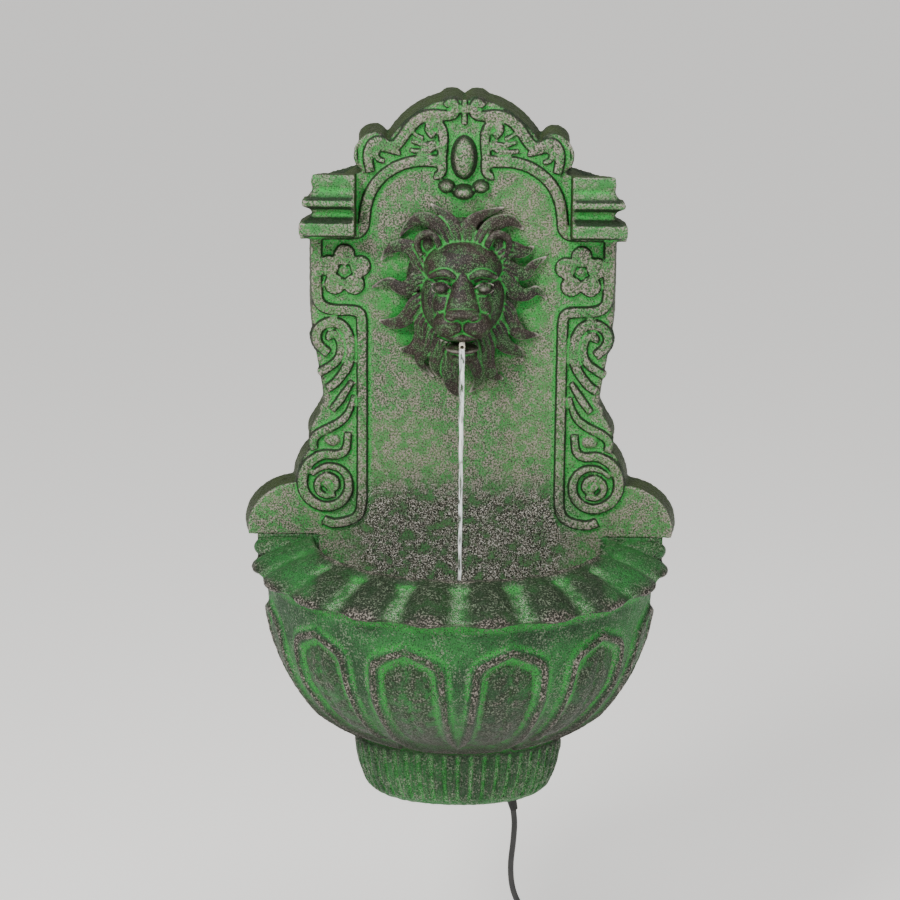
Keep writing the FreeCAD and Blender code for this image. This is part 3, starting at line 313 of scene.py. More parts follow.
class Resin:
    """The patterns and the running colour of one casting's finish: the paint washes in their real order,
    with painted shade and painted highlights laid among them.
    """

    def __init__(self, name, shade, body):
        self.material, self.tree = new_material(name)
        tree = self.tree
        self.place = add(tree, "ShaderNodeTexCoord").outputs["Object"]
        axes = add(tree, "ShaderNodeSeparateXYZ", links={0: self.place}).outputs
        self.height = axes["Z"]
        self.aside = add(tree, "ShaderNodeMath", links={0: axes["X"]}, operation="ABSOLUTE").outputs[0]
        self.relief = self.stored("relief")
        self.front = self.stored("front")
        blotch = self.noise(BLOTCH, 3.0, 0.5)
        self.patch = self.noise(PATCH, 6.0, 0.62)
        self.grit = self.noise(GRAIN, 2.0, 0.55)
        self.dust = self.noise(DUST, 2.0, 0.5)
        self.tone = blended(tree, self.step(blotch, 0.40, 0.60), shade, body)
        self.rough = self.step(self.grit, 0.40, 0.60, 0.62, 0.42)

    def stored(self, name):
        return add(self.tree, "ShaderNodeAttribute", attribute_name=name).outputs["Fac"]

    def noise(self, size, detail, roughness):
        return add(self.tree, "ShaderNodeTexNoise",
                   {"Scale": per_mm(size), "Detail": detail, "Roughness": roughness},
                   {"Vector": self.place}).outputs["Fac"]

    def step(self, source, low, high, start=0.0, end=1.0):
        return ramp(self.tree, source, low, high, start, end)

    def where(self, *shares):
        """One share that is high where all of the given ones are."""
        share = shares[0]
        for other in shares[1:]:
            share = times(self.tree, share, other)
        return share

    def wash_and_painted_light(self, code, *shares):
        """Lays one colour over the rest, where all of the shares are high. Most calls are paint washes;
        some lay painted shade or painted highlights.
        """
        self.tone = blended(self.tree, self.where(*shares), self.tone, code)

    def finish(self, bump):
        tree = self.tree
        coarse = add(tree, "ShaderNodeBump", {"Strength": 0.9, "Distance": bump * MM},
                     {"Height": self.grit})
        fine = add(tree, "ShaderNodeBump", {"Strength": 0.6, "Distance": bump * 0.5 * MM},
                   {"Height": self.dust, "Normal": coarse.outputs[0]})
        shader = add(tree, "ShaderNodeBsdfPrincipled", {"Specular IOR Level": 0.28, "IOR": 1.5},
                     {"Base Color": self.tone, "Roughness": self.rough, "Normal": fine.outputs[0]})
        add(tree, "ShaderNodeOutputMaterial", links={"Surface": shader.outputs[0]})
        return self.material


def panel_finish():
    """Grey grains over green, greener capitals, a dark wet field below with painted glints, and painted
    shade: dark strap edges, olive sides and tops turned from the front, near-black deepest hollows.
    """
    resin = Resin("green_washed_cast_resin_wet_field", "#3f5a38", "#587549")
    step = resin.step
    grains = step(resin.grit, 0.45, 0.55)
    resin.wash_and_painted_light("#978c82", grains, step(resin.patch, 0.34, 0.52, 0.35, 0.95))
    resin.wash_and_painted_light("#2f8a3a", step(resin.patch, 0.58, 0.42, 0.0, 0.85), step(resin.dust, 0.42, 0.55))
    capital = resin.where(step(resin.height, level(337), level(341)), step(resin.aside, 0.112, 0.116))
    resin.wash_and_painted_light("#35803c", capital, step(resin.patch, 0.34, 0.6, 0.95, 0.35))
    from_mask = add(resin.tree, "ShaderNodeVectorMath", {1: spot(0, FIELD, FACE_MIDDLE)},
                    {0: resin.place}, operation="DISTANCE").outputs["Value"]
    resin.wash_and_painted_light("#2b9a3b", step(from_mask, 0.100, 0.078), step(resin.patch, 0.60, 0.42, 0.45, 0.95))
    resin.wash_and_painted_light("#2fa040", step(resin.relief, 0.0, -0.6), step(resin.grit, 0.62, 0.44, 0.6, 1.0))
    resin.wash_and_painted_light("#9c9389", step(resin.relief, 0.25, 1.2), grains, step(resin.patch, 0.34, 0.52, 0.5, 0.95))
    wet = resin.where(step(resin.height, level(85), level(30)), step(resin.aside, 0.155, 0.090),
                      step(resin.patch, 0.32, 0.5, 0.5, 1.0))
    resin.wash_and_painted_light("#1f2119", wet, step(resin.grit, 0.60, 0.46, 0.5, 0.95))
    # Painted highlight: pale specks on the wet field stand for glints.
    resin.wash_and_painted_light("#bab6ab", wet, step(resin.dust, 0.56, 0.61), step(resin.patch, 0.38, 0.54))
    resin.wash_and_painted_light("#161a10", step(resin.dust, 0.44, 0.37, 0.0, 0.85))
    # Painted shade: faces that turn away from the front, below the raised tops, go dark along the strap
    # edges.
    resin.wash_and_painted_light("#141b0f", step(resin.front, 0.86, 0.6, 0.0, 0.9), step(resin.relief, 1.6, 0.4))
    # Painted shade: the sides, tops and back, turned away from the front, are darkened olive.
    resin.wash_and_painted_light("#37451f", step(resin.front, 0.3, 0.12), step(resin.patch, 0.36, 0.6, 0.92, 0.55))
    # Painted shade: the deepest hollows go near black.
    resin.wash_and_painted_light("#12140d", step(resin.relief, -1.5, -2.8, 0.0, 0.9))
    resin.rough = add(resin.tree, "ShaderNodeMix", {3: WET_ROUGHNESS}, {0: wet, 2: resin.rough}).outputs[0]
    return resin.finish(bump=1.7)


def basin_finish():
    """Dark lobes and bright valleys with pale grains that are partly painted sparkle, dark bands round the
    arches, a lower bowl darkened brown as painted shade, near-black deepest hollows as painted shade, an
    olive back.
    """
    resin = Resin("green_washed_cast_resin", "#1d4523", "#266e30")
    step = resin.step
    lip = step(resin.height, level(-43), level(-37))
    resin.wash_and_painted_light("#1d2816", lip, step(resin.patch, 0.34, 0.56, 0.65, 0.95))
    resin.wash_and_painted_light("#2c9a3a", step(resin.relief, -0.05, -0.9), step(resin.grit, 0.60, 0.42, 0.35, 1.0))
    valley = resin.stored("valley")
    resin.wash_and_painted_light("#288a35", valley, step(resin.grit, 0.57, 0.47, 0.05, 0.9),
               step(resin.patch, 0.34, 0.54, 0.25, 1.0))
    # Pale grains in the valleys: partly grey paint, partly painted sparkle, a painted highlight.
    resin.wash_and_painted_light("#b3b9a6", valley, step(resin.dust, 0.52, 0.58), step(resin.patch, 0.42, 0.56, 0.1, 0.75))
    resin.wash_and_painted_light("#1e2b15", resin.stored("inside"), step(resin.patch, 0.40, 0.56, 0.1, 0.9))
    resin.wash_and_painted_light("#7d8c72", step(resin.grit, 0.52, 0.59), step(resin.patch, 0.42, 0.58, 0.1, 0.7))
    rubbed = step(resin.relief, 0.25, 1.3)
    resin.wash_and_painted_light("#26221c", rubbed, step(resin.patch, 0.34, 0.52, 0.4, 0.9))
    resin.wash_and_painted_light("#9d958a", rubbed, step(resin.grit, 0.50, 0.58), step(resin.patch, 0.40, 0.6, 0.3, 0.9))
    ends = resin.where(step(resin.height, level(-27), level(-18)), step(resin.aside, 0.148, 0.162))
    resin.wash_and_painted_light("#2a7434", ends, step(resin.patch, 0.34, 0.56, 0.95, 0.5), step(resin.dust, 0.36, 0.5))
    # Painted shade: the lower bowl, curving in under the lip towards the foot, is darkened brown.
    low = resin.where(step(resin.height, level(-120), level(-205)),
                      step(resin.height, level(-246), level(-232)))
    resin.wash_and_painted_light("#25241a", low, step(resin.patch, 0.32, 0.54, 0.45, 0.92), step(resin.dust, 0.36, 0.5))
    resin.wash_and_painted_light("#11160c", step(resin.dust, 0.46, 0.37, 0.0, 0.92))
    # Painted shade: the deepest hollows go near black.
    resin.wash_and_painted_light("#10120b", step(resin.relief, -1.8, -3.4, 0.0, 0.85))
    resin.wash_and_painted_light("#37451f", step(resin.front, -0.8, -0.95), step(resin.patch, 0.36, 0.6, 0.95, 0.7))
    return resin.finish(bump=1.8)


def lion_finish():
    """Brown-black with green in the hollows, grey rubbed over the ridges, and painted shade, a darker
    green, in the deepest hollows.
    """
    resin = Resin("bronzed_cast_resin", "#1f1915", "#2b231d")
    step = resin.step
    resin.wash_and_painted_light("#229a38", step(resin.relief, 0.0, -0.5), step(resin.patch, 0.34, 0.5, 0.7, 1.0))
    resin.wash_and_painted_light("#357a3a", step(resin.patch, 0.46, 0.58), step(resin.dust, 0.46, 0.54, 0.0, 0.6))
    resin.wash_and_painted_light("#b9aea6", step(resin.relief, 0.3, 0.85), step(resin.patch, 0.40, 0.52, 0.2, 0.9))
    resin.wash_and_painted_light("#857e73", step(resin.dust, 0.56, 0.62, 0.0, 0.4))
    # Painted shade: the deepest hollows go a darker green.
    resin.wash_and_painted_light("#12301a", step(resin.relief, -0.6, -1.4, 0.0, 0.9))
    return resin.finish(bump=0.8)


panel_resin = panel_finish()
basin_resin = basin_finish()
lion_resin = lion_finish()
print("resin finishes", len(bpy.data.materials))

# %% [markdown]
# Carving is done as a modeller in clay would: lay rolls and pellets of clay on a board, press them
# together and smooth the joins. Here the rolls are tapered curves, the pellets are spheres, and one
# voxel remesh presses the lot into a single skin.

# %% Clay rolls and pellets
STRAP_LIFT = 2.0
STRAP_TOP = 5.4
STRAP_WIDEN = 1.12
THIN_STRAP = 3.1


def soften(obj, rounds):
    soft = obj.modifiers.new("soften", "SMOOTH")
    soft.factor = 0.5
    soft.iterations = rounds


class Clay:
    """Rolls and pellets gathered in one bmesh. A mirrored one is added on both sides."""

    def __init__(self):
        self.bm = bmesh.new()

    def take(self, mesh, both):
        self.bm.from_mesh(mesh)
        if both:
            other = mesh.copy()
            other.transform(Matrix.Diagonal((-1, 1, 1, 1)))
            other.flip_normals()
            self.bm.from_mesh(other)
            bpy.data.meshes.remove(other)
        bpy.data.meshes.remove(mesh)

    def strap(self, points, start, end, middle=None):
        """A flat-topped band on the field, through (x, z) points."""
        path = [(x, FIELD - STRAP_LIFT, z) for x, z in points]
        widen = STRAP_WIDEN if start > THIN_STRAP else 1.0
        middle = None if middle is None else middle * widen
        self.roll(path, start * widen, end * widen, middle, flat=FIELD - STRAP_TOP)

    def roll(self, points, start, end, middle=None, both=True, flat=None):
        """A roll through (x, y, z) points, from one radius to another, cut flat in front."""
        shares = [index / (len(points) - 1) for index in range(len(points))]
        swell = 0.0 if middle is None else middle - (start + end) / 2
        radii = [start + (end - start) * share + swell * sin(pi * share) for share in shares]
        holder = round_line("roll", points, radii, unit=MM, around=3, along=5)
        curve = holder.data
        mesh = final_mesh(holder)
        bpy.data.objects.remove(holder)
        bpy.data.curves.remove(curve)
        if flat is not None:
            for vertex in mesh.vertices:
                vertex.co.y = max(vertex.co.y, flat * MM)
        self.take(mesh, both)

    def pellet(self, centre, half, turn=0.0, both=True, flat=None):
        """An ellipsoid, turned in the plane of the wall by an angle in degrees."""
        pellet = bmesh.new()
        bmesh.ops.create_uvsphere(pellet, u_segments=28, v_segments=18, radius=MM)
        shape = Matrix.Rotation(radians(turn), 4, "Y") @ Matrix.Diagonal((*half, 1))
        pellet.transform(Matrix.Translation(spot(*centre)) @ shape)
        if flat is not None:
            for vertex in pellet.verts:
                vertex.co.y = max(vertex.co.y, flat * MM)
        self.take(mesh_from(pellet, "pellet"), both)

    def pressed(self, name, voxel, rounds):
        """Remeshes the clay into one skin and smooths it."""
        holder = link(name + "_clay", mesh_from(self.bm, name + "_clay"))
        press = holder.modifiers.new("press", "REMESH")
        press.mode = "VOXEL"
        press.voxel_size = voxel * MM
        soften(holder, rounds)
        skin = final_mesh(holder)
        bpy.data.objects.remove(holder)
        skin.name = name
        return link(name, skin)


# %% Surface of a casting
MOST_TRIANGLES = 190000


def sand_cast(obj, height, size, seed):
    """Moves each vertex in or out a little, as sand grains leave the surface. The wall side stays flat."""
    offset = Vector((seed, seed * 2, seed * 3))
    mesh = obj.data
    normals = [normal.vector.copy() for normal in mesh.vertex_normals]
    for vertex, normal in zip(mesh.vertices, normals):
        rough = noise.fractal(vertex.co * per_mm(size) + offset, 0.9, 2.0, 3)
        vertex.co += normal * rough * height * MM
        vertex.co.y = min(vertex.co.y, 0.0)
    mesh.update()


def store(obj, name, values):
    layer = obj.data.attributes.new(name, "FLOAT", "POINT")
    layer.data.foreach_set("value", values)


def mark_relief(obj, rounds):
    """Stores how far each vertex stands proud of the smoothed surface, and how far it faces front."""
    count = len(obj.data.vertices)
    facing, here, there, normal = (np.empty(count * 3, np.float32) for _ in range(4))
    obj.data.vertices.foreach_get("normal", facing)
    store(obj, "front", -facing[1::3])
    copy = link("smoothed", obj.data.copy())
    soften(copy, rounds)
    smooth = final_mesh(copy)
    obj.data.vertices.foreach_get("co", here)
    smooth.vertices.foreach_get("co", there)
    smooth.vertices.foreach_get("normal", normal)
    apart = ((here - there).reshape(-1, 3) * normal.reshape(-1, 3)).sum(1) / MM
    store(obj, "relief", apart)
    bpy.data.objects.remove(copy)
    print(obj.name, "relief mm", round(float(apart.min()), 1), round(float(apart.max()), 1))


def thin_out(obj):
    """Brings a casting's triangles down. Each vertex left takes the nearest stored values."""
    dense = obj.data
    thin = obj.modifiers.new("thin", "DECIMATE")
    thin.ratio = min(1.0, MOST_TRIANGLES / (2 * len(dense.polygons)))
    light = final_mesh(obj)
    obj.modifiers.clear()
    places = KDTree(len(dense.vertices))
    for index, vertex in enumerate(dense.vertices):
        places.insert(vertex.co, index)
    places.balance()
    nearest = [places.find(vertex.co)[1] for vertex in light.vertices]
    kept = {}
    for name in ("relief", "front"):
        values = np.empty(len(dense.vertices), np.float32)
        dense.attributes[name].data.foreach_get("value", values)
        kept[name] = values[nearest]
        if name in light.attributes:
            light.attributes.remove(light.attributes[name])
    obj.data = light
    for name, values in kept.items():
        store(obj, name, values)


def finish_casting(obj, material, node):
    obj.data.materials.clear()
    obj.data.materials.append(material)
    obj.data.shade_smooth()
    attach(obj, "fountain")
    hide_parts(node)
    print(obj.name, "triangles", triangles(obj.data))


# %% [markdown]
# The back panel starts from the model's own casting, so its hollow back, bosses and capitals stay
# where they are. The model's plain mouldings are pressed flat, and the carving is laid in their
# place: the border, the two volutes of each bracket with the leaves between, the flowers and crest.

# %% Board for the carving
CAPITAL_FOOT = 336.0
CAPITAL_START = 114.0
CAPITAL_ROUNDED = 380.0
CAPITAL_FALL = 13.0
APRON_EDGE = 149.5
APRON_STRETCH = 1.068


def step_up(value, low, high):
    t = min(1.0, max(0.0, (value - low) / (high - low)))
    return t * t * (3 - 2 * t)


def panel_board(clay):
    """The tops of the capitals fall off to the wall, and the apron nearly meets the basin's lip."""
    board = bmesh.new()
    board.from_mesh(frame["nodes"]["back_panel"].data)
    bmesh.ops.remove_doubles(board, verts=board.verts, dist=0.00001)
    for vertex in board.verts:
        x, y, z = from_rim(vertex.co)
        if abs(x) > CAPITAL_START and z > CAPITAL_FOOT:
            if z > CAPITAL_ROUNDED:
                vertex.co.z -= CAPITAL_FALL * step_up(y, -45, -8) * MM
        else:
            vertex.co.y = max(vertex.co.y, FIELD * MM)
        if z < 0.5 and abs(x) < APRON_EDGE:
            vertex.co.x *= APRON_STRETCH
    clay.take(mesh_from(board, "board"), both=False)


# %% Border and brackets
BORDER_R = 5.6
BAND_R = 5.2


def carve_border(clay):
    clay.strap([(27, 417), (36.6, 417.7), (46.6, 417.8), (63.3, 415.2), (80.4, 406.8), (93, 395.2),
                (101, 381.8), (105, 367.7), (106.5, 356.8), (107, 346.5), (112, 339.5),
                (122, 338.5), (176, 338.5)], BORDER_R, BORDER_R)
    clay.strap([(158.5, 336), (158.5, 310), (158.5, 276), (157, 264), (149, 256.5), (136, 255),
                (120, 255), (111, 253), (109, 244), (109, 200), (109, 120), (109, 60), (109.5, 34),
                (113, 23), (122, 17.5), (134, 14.5), (144, 14), (152, 18)], BORDER_R, 4.6)


def carve_bracket(clay):
    """The upper scroll, the leaf bands that sweep out below it, and the lower scroll."""
    clay.strap([(147.8, 167.4), (140.5, 171.4), (132.3, 181.2), (124.5, 193), (121.5, 206),
                (121.7, 219), (125, 231), (132, 240), (142.4, 242.5), (154, 238), (160, 228),
                (157.5, 216), (146, 207)], 4.4, 4.8, middle=BAND_R)
    clay.strap([(157, 184.5), (145, 191.5), (136.5, 198.5), (132, 207), (132, 217), (135, 226),
                (141, 230), (146, 227.5), (145, 222)], 4.4, 3.2, middle=4.2)
    clay.strap([(119.6, 176.1), (127.9, 163.1), (134.5, 153.2), (142, 143.4)], 3.0, 3.8, middle=4.8)
    clay.strap([(118, 160), (121.5, 146), (127, 135.6), (137.5, 126.8), (151.4, 120.3),
                (161.3, 113.8), (163.9, 105.5), (161.5, 98.5)], 2.6, 4.4, middle=BAND_R)
    clay.strap([(124.9, 118), (125.2, 105.1), (128.5, 95), (139.2, 92), (149.5, 94), (161.9, 88.8),
                (171.9, 78.9), (176.4, 62.2), (172.8, 47), (161.7, 36), (145.5, 32), (131, 39),
                (123.5, 52), (124.4, 66.7), (131.5, 76.5), (144.4, 80.8), (157, 77.5),
                (165, 70)], 3.6, 2.4, middle=5.4)
    clay.strap([(139, 47.5), (147.5, 44.5), (156.5, 48.5), (159.8, 57), (156, 66), (147.5, 69.5),
                (139, 65.5), (136.8, 57.5), (141, 53), (148, 54)], 3.0, 3.4, middle=4.2)
    clay.pellet((148, FIELD, 59), (5, 7, 5), flat=FIELD - STRAP_TOP)
    clay.pellet((142, FIELD, 109.4), (9, 4.5, 7))


# %% Flowers and crest
PETALS = 5
PETAL_RING = 17.8
PETAL_R = 11.2
FLOWER_AT = (128.0, 298.0)


def carve_flower(clay):
    x, z = FLOWER_AT
    for petal in range(PETALS):
        angle = radians(90 + 360 / PETALS * petal)
        place = (x + PETAL_RING * cos(angle), FIELD - 1, z + PETAL_RING * sin(angle))
        clay.pellet(place, (PETAL_R, 13.0, PETAL_R), flat=FIELD - STRAP_TOP)
    clay.pellet((x, FIELD, z), (4.8, 6.5, 4.8), flat=FIELD - 3.6)


def carve_crest(clay):
    """The scrolled edge band, the strap beside the oval, the leaves between, the oval and drops."""
    clay.strap([(19.9, 475.7), (17, 480), (11.1, 479.5), (8.6, 473.6), (11.2, 466.6), (20.7, 465.6),
                (31.5, 467.3), (43.9, 465), (53.9, 458), (61.4, 449.3), (67.3, 440), (72.8, 433.6),
                (79.8, 432.5), (86, 436.2), (93.5, 438.3), (99.7, 433.8), (103, 425.3),
                (102.4, 415.4), (100, 405.4)], 3.6, 4.4, middle=5.6)
    clay.strap([(32, 444.4), (39.4, 449.3), (35.3, 458), (26, 456.8), (21.8, 446), (22.7, 431),
                (23.8, 419.5), (22.4, 409.5), (25.9, 401.2), (31.5, 402.2)], 3.8, 3.8, middle=4.8)
    clay.strap([(68.4, 425.4), (80.1, 427.8), (87.6, 430.5), (92.6, 429.5), (94, 423.5),
                (91.5, 418), (85.1, 416.9)], 2.4, 2.6, middle=3.0)
    clay.strap([(30, 433.3), (36, 428.3), (46.8, 427), (58, 429)], 2.6, 2.0, middle=3.0)
    clay.strap([(30, 438), (38.5, 434.6), (48.5, 435.4), (56, 438.8)], 2.2, 1.8, middle=2.6)
    clay.strap([(43.5, 442), (49.4, 442.6), (53.5, 447)], 2.2, 1.8, middle=2.4)
    clay.roll([(0, FIELD - 3, 483), (0, FIELD - 4, 470), (0, FIELD - 3, 457)], 2.6, 3.0,
              middle=3.6, both=False)
    clay.pellet((0, FIELD, 421.7), (14.0, 14, 23.4), both=False)
    clay.pellet((18.4, FIELD, 391), (8.6, 15, 7.0))
    clay.pellet((0, FIELD, 385), (11.5, 16, 8.0), both=False)


panel_clay = Clay()
panel_board(panel_clay)
carve_border(panel_clay)
carve_bracket(panel_clay)
carve_flower(panel_clay)
carve_crest(panel_clay)
panel = panel_clay.pressed("carved_panel", voxel=1.5, rounds=2)
mark_relief(panel, rounds=40)
sand_cast(panel, height=0.5, size=5.0, seed=3.0)
thin_out(panel)
finish_casting(panel, panel_resin, "back_panel")

# %% [markdown]
# The lion is built from the skull outwards: a long domed face, a heavy brow, a broad nose on a square
# muzzle, almond eyes set deep, and round ears half lost in the mane. The mane is many flame-shaped
# locks, each a few strands that start at the face, swing out and hook down at the tip.

# %% Lion's face
MUZZLE_AT = (14.0, FIELD - 46.0, 249.0)
MUZZLE_HALF = (18.0, 22.0, 15.0)
NOSE_STEPS = 9


def on_muzzle(x, z):
    """The depth of the muzzle's skin at a place."""
    off = ((x - MUZZLE_AT[0]) / MUZZLE_HALF[0]) ** 2 + ((z - MUZZLE_AT[2]) / MUZZLE_HALF[2]) ** 2
    return MUZZLE_AT[1] - MUZZLE_HALF[1] * max(0.0, 1 - off) ** 0.5


def model_face(clay):
    clay.pellet((0, FIELD, 274), (46, 32, 60), both=False)
    clay.pellet((0, FIELD - 13, 306), (43, 35, 28), both=False)
    clay.pellet((27, FIELD - 14, 268), (18, 25, 32), turn=8)
    clay.pellet((17, FIELD - 28, 268), (17, 22, 19))
    clay.roll([(7, FIELD - 45, 299), (15, FIELD - 48, 304.5), (26, FIELD - 43, 304),
               (36, FIELD - 31, 297)], 3.0, 2.4, middle=4.6)
    for step in range(NOSE_STEPS):
        share = step / (NOSE_STEPS - 1)
        clay.pellet((0, FIELD - 36 - 17 * share, 300 - 36 * share), (8.5 + 10 * share, 13, 13),
                    both=False)
    clay.pellet((0, FIELD - 62, 263), (18, 11, 6.0), both=False)
    clay.pellet((11.5, FIELD - 61, 260), (7, 9, 4.6))
    clay.pellet(MUZZLE_AT, MUZZLE_HALF)
    for line in range(5):
        start, end = 244.5 + line * 0.9, 243.0 + line * 4.6
        path = [(x, on_muzzle(x, z), z) for x, z in ((3, start), (15, (start + end) / 2 - 1.5), (28, end))]
        clay.roll(path, 1.1, 0.9, middle=1.5)
    clay.pellet((0, FIELD - 42, 237), (21, 22, 7.0), both=False)
    clay.pellet((0, FIELD - 40, 221.5), (18, 22, 5.5), both=False)
    clay.pellet((0, FIELD - 26, 212), (17, 24, 10), both=False)
    clay.pellet((22, FIELD - 41, 287.5), (8.0, 9.0, 6.2), turn=-6)
    clay.roll([(11, FIELD - 45, 286), (21, FIELD - 48, 297), (33, FIELD - 38, 290)], 1.2, 1.2,
              middle=1.8)
    clay.roll([(11, FIELD - 45, 284.5), (21, FIELD - 47, 278), (33, FIELD - 38, 285)], 1.1, 1.1,
              middle=1.5)


def model_ears(clay):
    clay.roll([(25, FIELD - 20, 326), (27.5, FIELD - 22, 338), (38, FIELD - 22, 344.5),
               (48.5, FIELD - 19, 338), (50, FIELD - 16, 327), (45, FIELD - 16, 318)], 3.6, 3.0,
              middle=4.2)
    clay.pellet((38, FIELD - 8, 330), (12, 9, 13))


# %% Mane
STRANDS = 4
STRAND_GAP = 5.0
LOCK_ROOT = 19.0
LOCK_TIP = 3.0
ROOT_REACH = 0.22
LOCKS = [
    [(-5.5, 334), (-11.5, 351), (-21.5, 362), (-35.5, 372)],
    [(4.5, 334), (5.5, 351), (18.5, 362), (43.5, 369)],
    [(-19.5, 334), (-27.5, 350), (-42.5, 359), (-59.5, 352), (-68.5, 336)],
    [(20.5, 334), (29.5, 350), (44.5, 357), (56.5, 354), (64.5, 345)],
    [(-44.5, 307), (-51.5, 324), (-67.5, 329), (-81.5, 322), (-88.5, 310)],
    [(42.5, 322), (52.5, 326), (62.5, 322), (69.5, 322), (76.5, 327)],
    [(42.5, 309), (54.5, 300), (68.5, 297), (77.5, 310), (90.5, 316)],
    [(-47.5, 294), (-56.5, 282), (-68.5, 280), (-82.5, 291), (-98.5, 280)],
    [(44.5, 297), (55.5, 278), (69.5, 274), (82.5, 283), (91.5, 269)],
    [(-48.5, 268), (-56.5, 253), (-68.5, 242), (-81.5, 242), (-90.5, 244)],
    [(47.5, 262), (52.5, 244), (62.5, 232), (72.5, 230), (83.5, 230)],
    [(-43.5, 246), (-42.5, 227), (-51.5, 214), (-60.5, 212), (-68.5, 213)],
    [(38.5, 239), (42.5, 223), (52.5, 215), (64.5, 212), (65.5, 201)],
    [(-32.5, 234), (-34.5, 216), (-45.5, 208), (-46.5, 196), (-30.5, 182)],
    [(26.5, 219), (25.5, 203), (31.5, 188), (37.5, 182), (45.5, 181)],
    [(-24.5, 212), (-28.5, 198), (-23.5, 187), (-12.5, 182)],
    [(-12, 209), (-14, 186), (-10, 168), (-0.5, 158)],
    [(10.5, 209), (18.5, 194), (20.5, 176), (8.5, 165)],
]


def model_lock(clay, spine):
    """One flame-shaped lock: a bed on the field, and strands that leave the face and meet in the tip."""
    root = (spine[0][0] * (1 - ROOT_REACH), FACE_MIDDLE + (spine[0][1] - FACE_MIDDLE) * (1 - ROOT_REACH))
    spine = [root] + spine
    count = len(spine) - 1
    bed = [(x, FIELD - 4 * (1 - index / count), z) for index, (x, z) in enumerate(spine)]
    clay.roll(bed, 9.5, 2.0, middle=7.5, both=False)
    for strand in range(STRANDS):
        across = (strand - (STRANDS - 1) / 2) * STRAND_GAP
        points = []
        for index, (x, z) in enumerate(spine):
            before, after = spine[max(index - 1, 0)], spine[min(index + 1, count)]
            run = Vector((after[0] - before[0], after[1] - before[1])).normalized()
            share = index / count
            spread = across * (1 - share ** 2)
            depth = LOCK_ROOT + (LOCK_TIP - LOCK_ROOT) * share ** 1.2 - abs(across) * 0.35 * (1 - share)
            points.append((x + run.y * spread, FIELD - depth, z - run.x * spread))
        clay.roll(points, 2.6, 1.2, middle=3.2, both=False)


def model_mane(clay):
    clay.pellet((0, FIELD, 284), (62, 13, 74), both=False)
    for spine in LOCKS:
        model_lock(clay, spine)


lion_clay = Clay()
model_face(lion_clay)
model_ears(lion_clay)
model_mane(lion_clay)
bmesh.ops.holes_fill(lion_clay.bm, edges=cut_off(lion_clay.bm, FIELD, 1))
lion = lion_clay.pressed("lion_mask_cast", voxel=1.0, rounds=2)
mark_relief(lion, rounds=30)
sand_cast(lion, height=0.2, size=4.0, seed=8.0)
thin_out(lion)
finish_casting(lion, lion_resin, "lion_mask")

# %% [markdown]
# The basin is turned, as a potter would turn it: one profile spun half round an upright axis and
# carried straight back to the wall. The profile is made oval towards the foot. Then the skin is
# pushed in and out: pillow-shaped lobes on the lip, arched panels on the bowl, reeds on the foot.

# %% Basin profile
AXIS_Y = -36.0
OUTSIDE = [(163, -9), (163, -4), (165, -1), (170, -0.5), (185, -4), (205, -11), (224, -20),
           (230.5, -25), (232.5, -29), (229, -33), (221, -35.5), (215, -38), (214.5, -60), (211, -92),
           (203, -124), (189, -156), (170, -184), (146, -206), (123, -224), (114, -234), (117, -238),
           (116, -252), (112, -272), (105, -290), (97, -300), (84, -305.5), (60, -306), (0, -306)]
INSIDE = [(0, -298), (60, -298), (78, -294), (98, -270), (106, -240), (108, -232), (140, -201),
          (163, -181), (181, -154), (195, -123), (203, -92), (205, -60), (200, -45), (170, -38),
          (163, -32)]
OVAL = [(-306, 0.53), (-236, 0.53), (-224, 0.642), (-206, 0.781), (-184, 0.9), (-156, 0.958),
        (-124, 0.995), (0, 1.0)]
SPIN_STEPS = 300
STEPS_BACK = 6
OUTSIDE_STEP = 1.9
INSIDE_STEP = 7.0
FINE_STEPS = 12


def between(a, b, c, d, t):
    """The value at share t from b to c on the smooth line through all four."""
    return 0.5 * (2 * b + (c - a) * t + (2 * a - 5 * b + 4 * c - d) * t * t
                  + (3 * b - a - 3 * c + d) * t ** 3)


def even(points, step):
    """Points at even steps along a smooth line through the given ones."""
    dense = []
    for index in range(len(points) - 1):
        four = (points[max(index - 1, 0)], points[index], points[index + 1],
                points[min(index + 2, len(points) - 1)])
        for fine in range(FINE_STEPS):
            dense.append([between(*values, fine / FINE_STEPS) for values in zip(*four)])
    dense.append(list(points[-1]))
    kept = [dense[0]]
    for point in dense[1:]:
        if hypot(point[0] - kept[-1][0], point[1] - kept[-1][1]) >= step:
            kept.append(point)
    kept[-1] = dense[-1]
    return kept


def oval_at(z):
    for (low, a), (high, b) in zip(OVAL, OVAL[1:]):
        if z <= high:
            return a + (b - a) * max(0.0, z - low) / (high - low)
    return 1.0


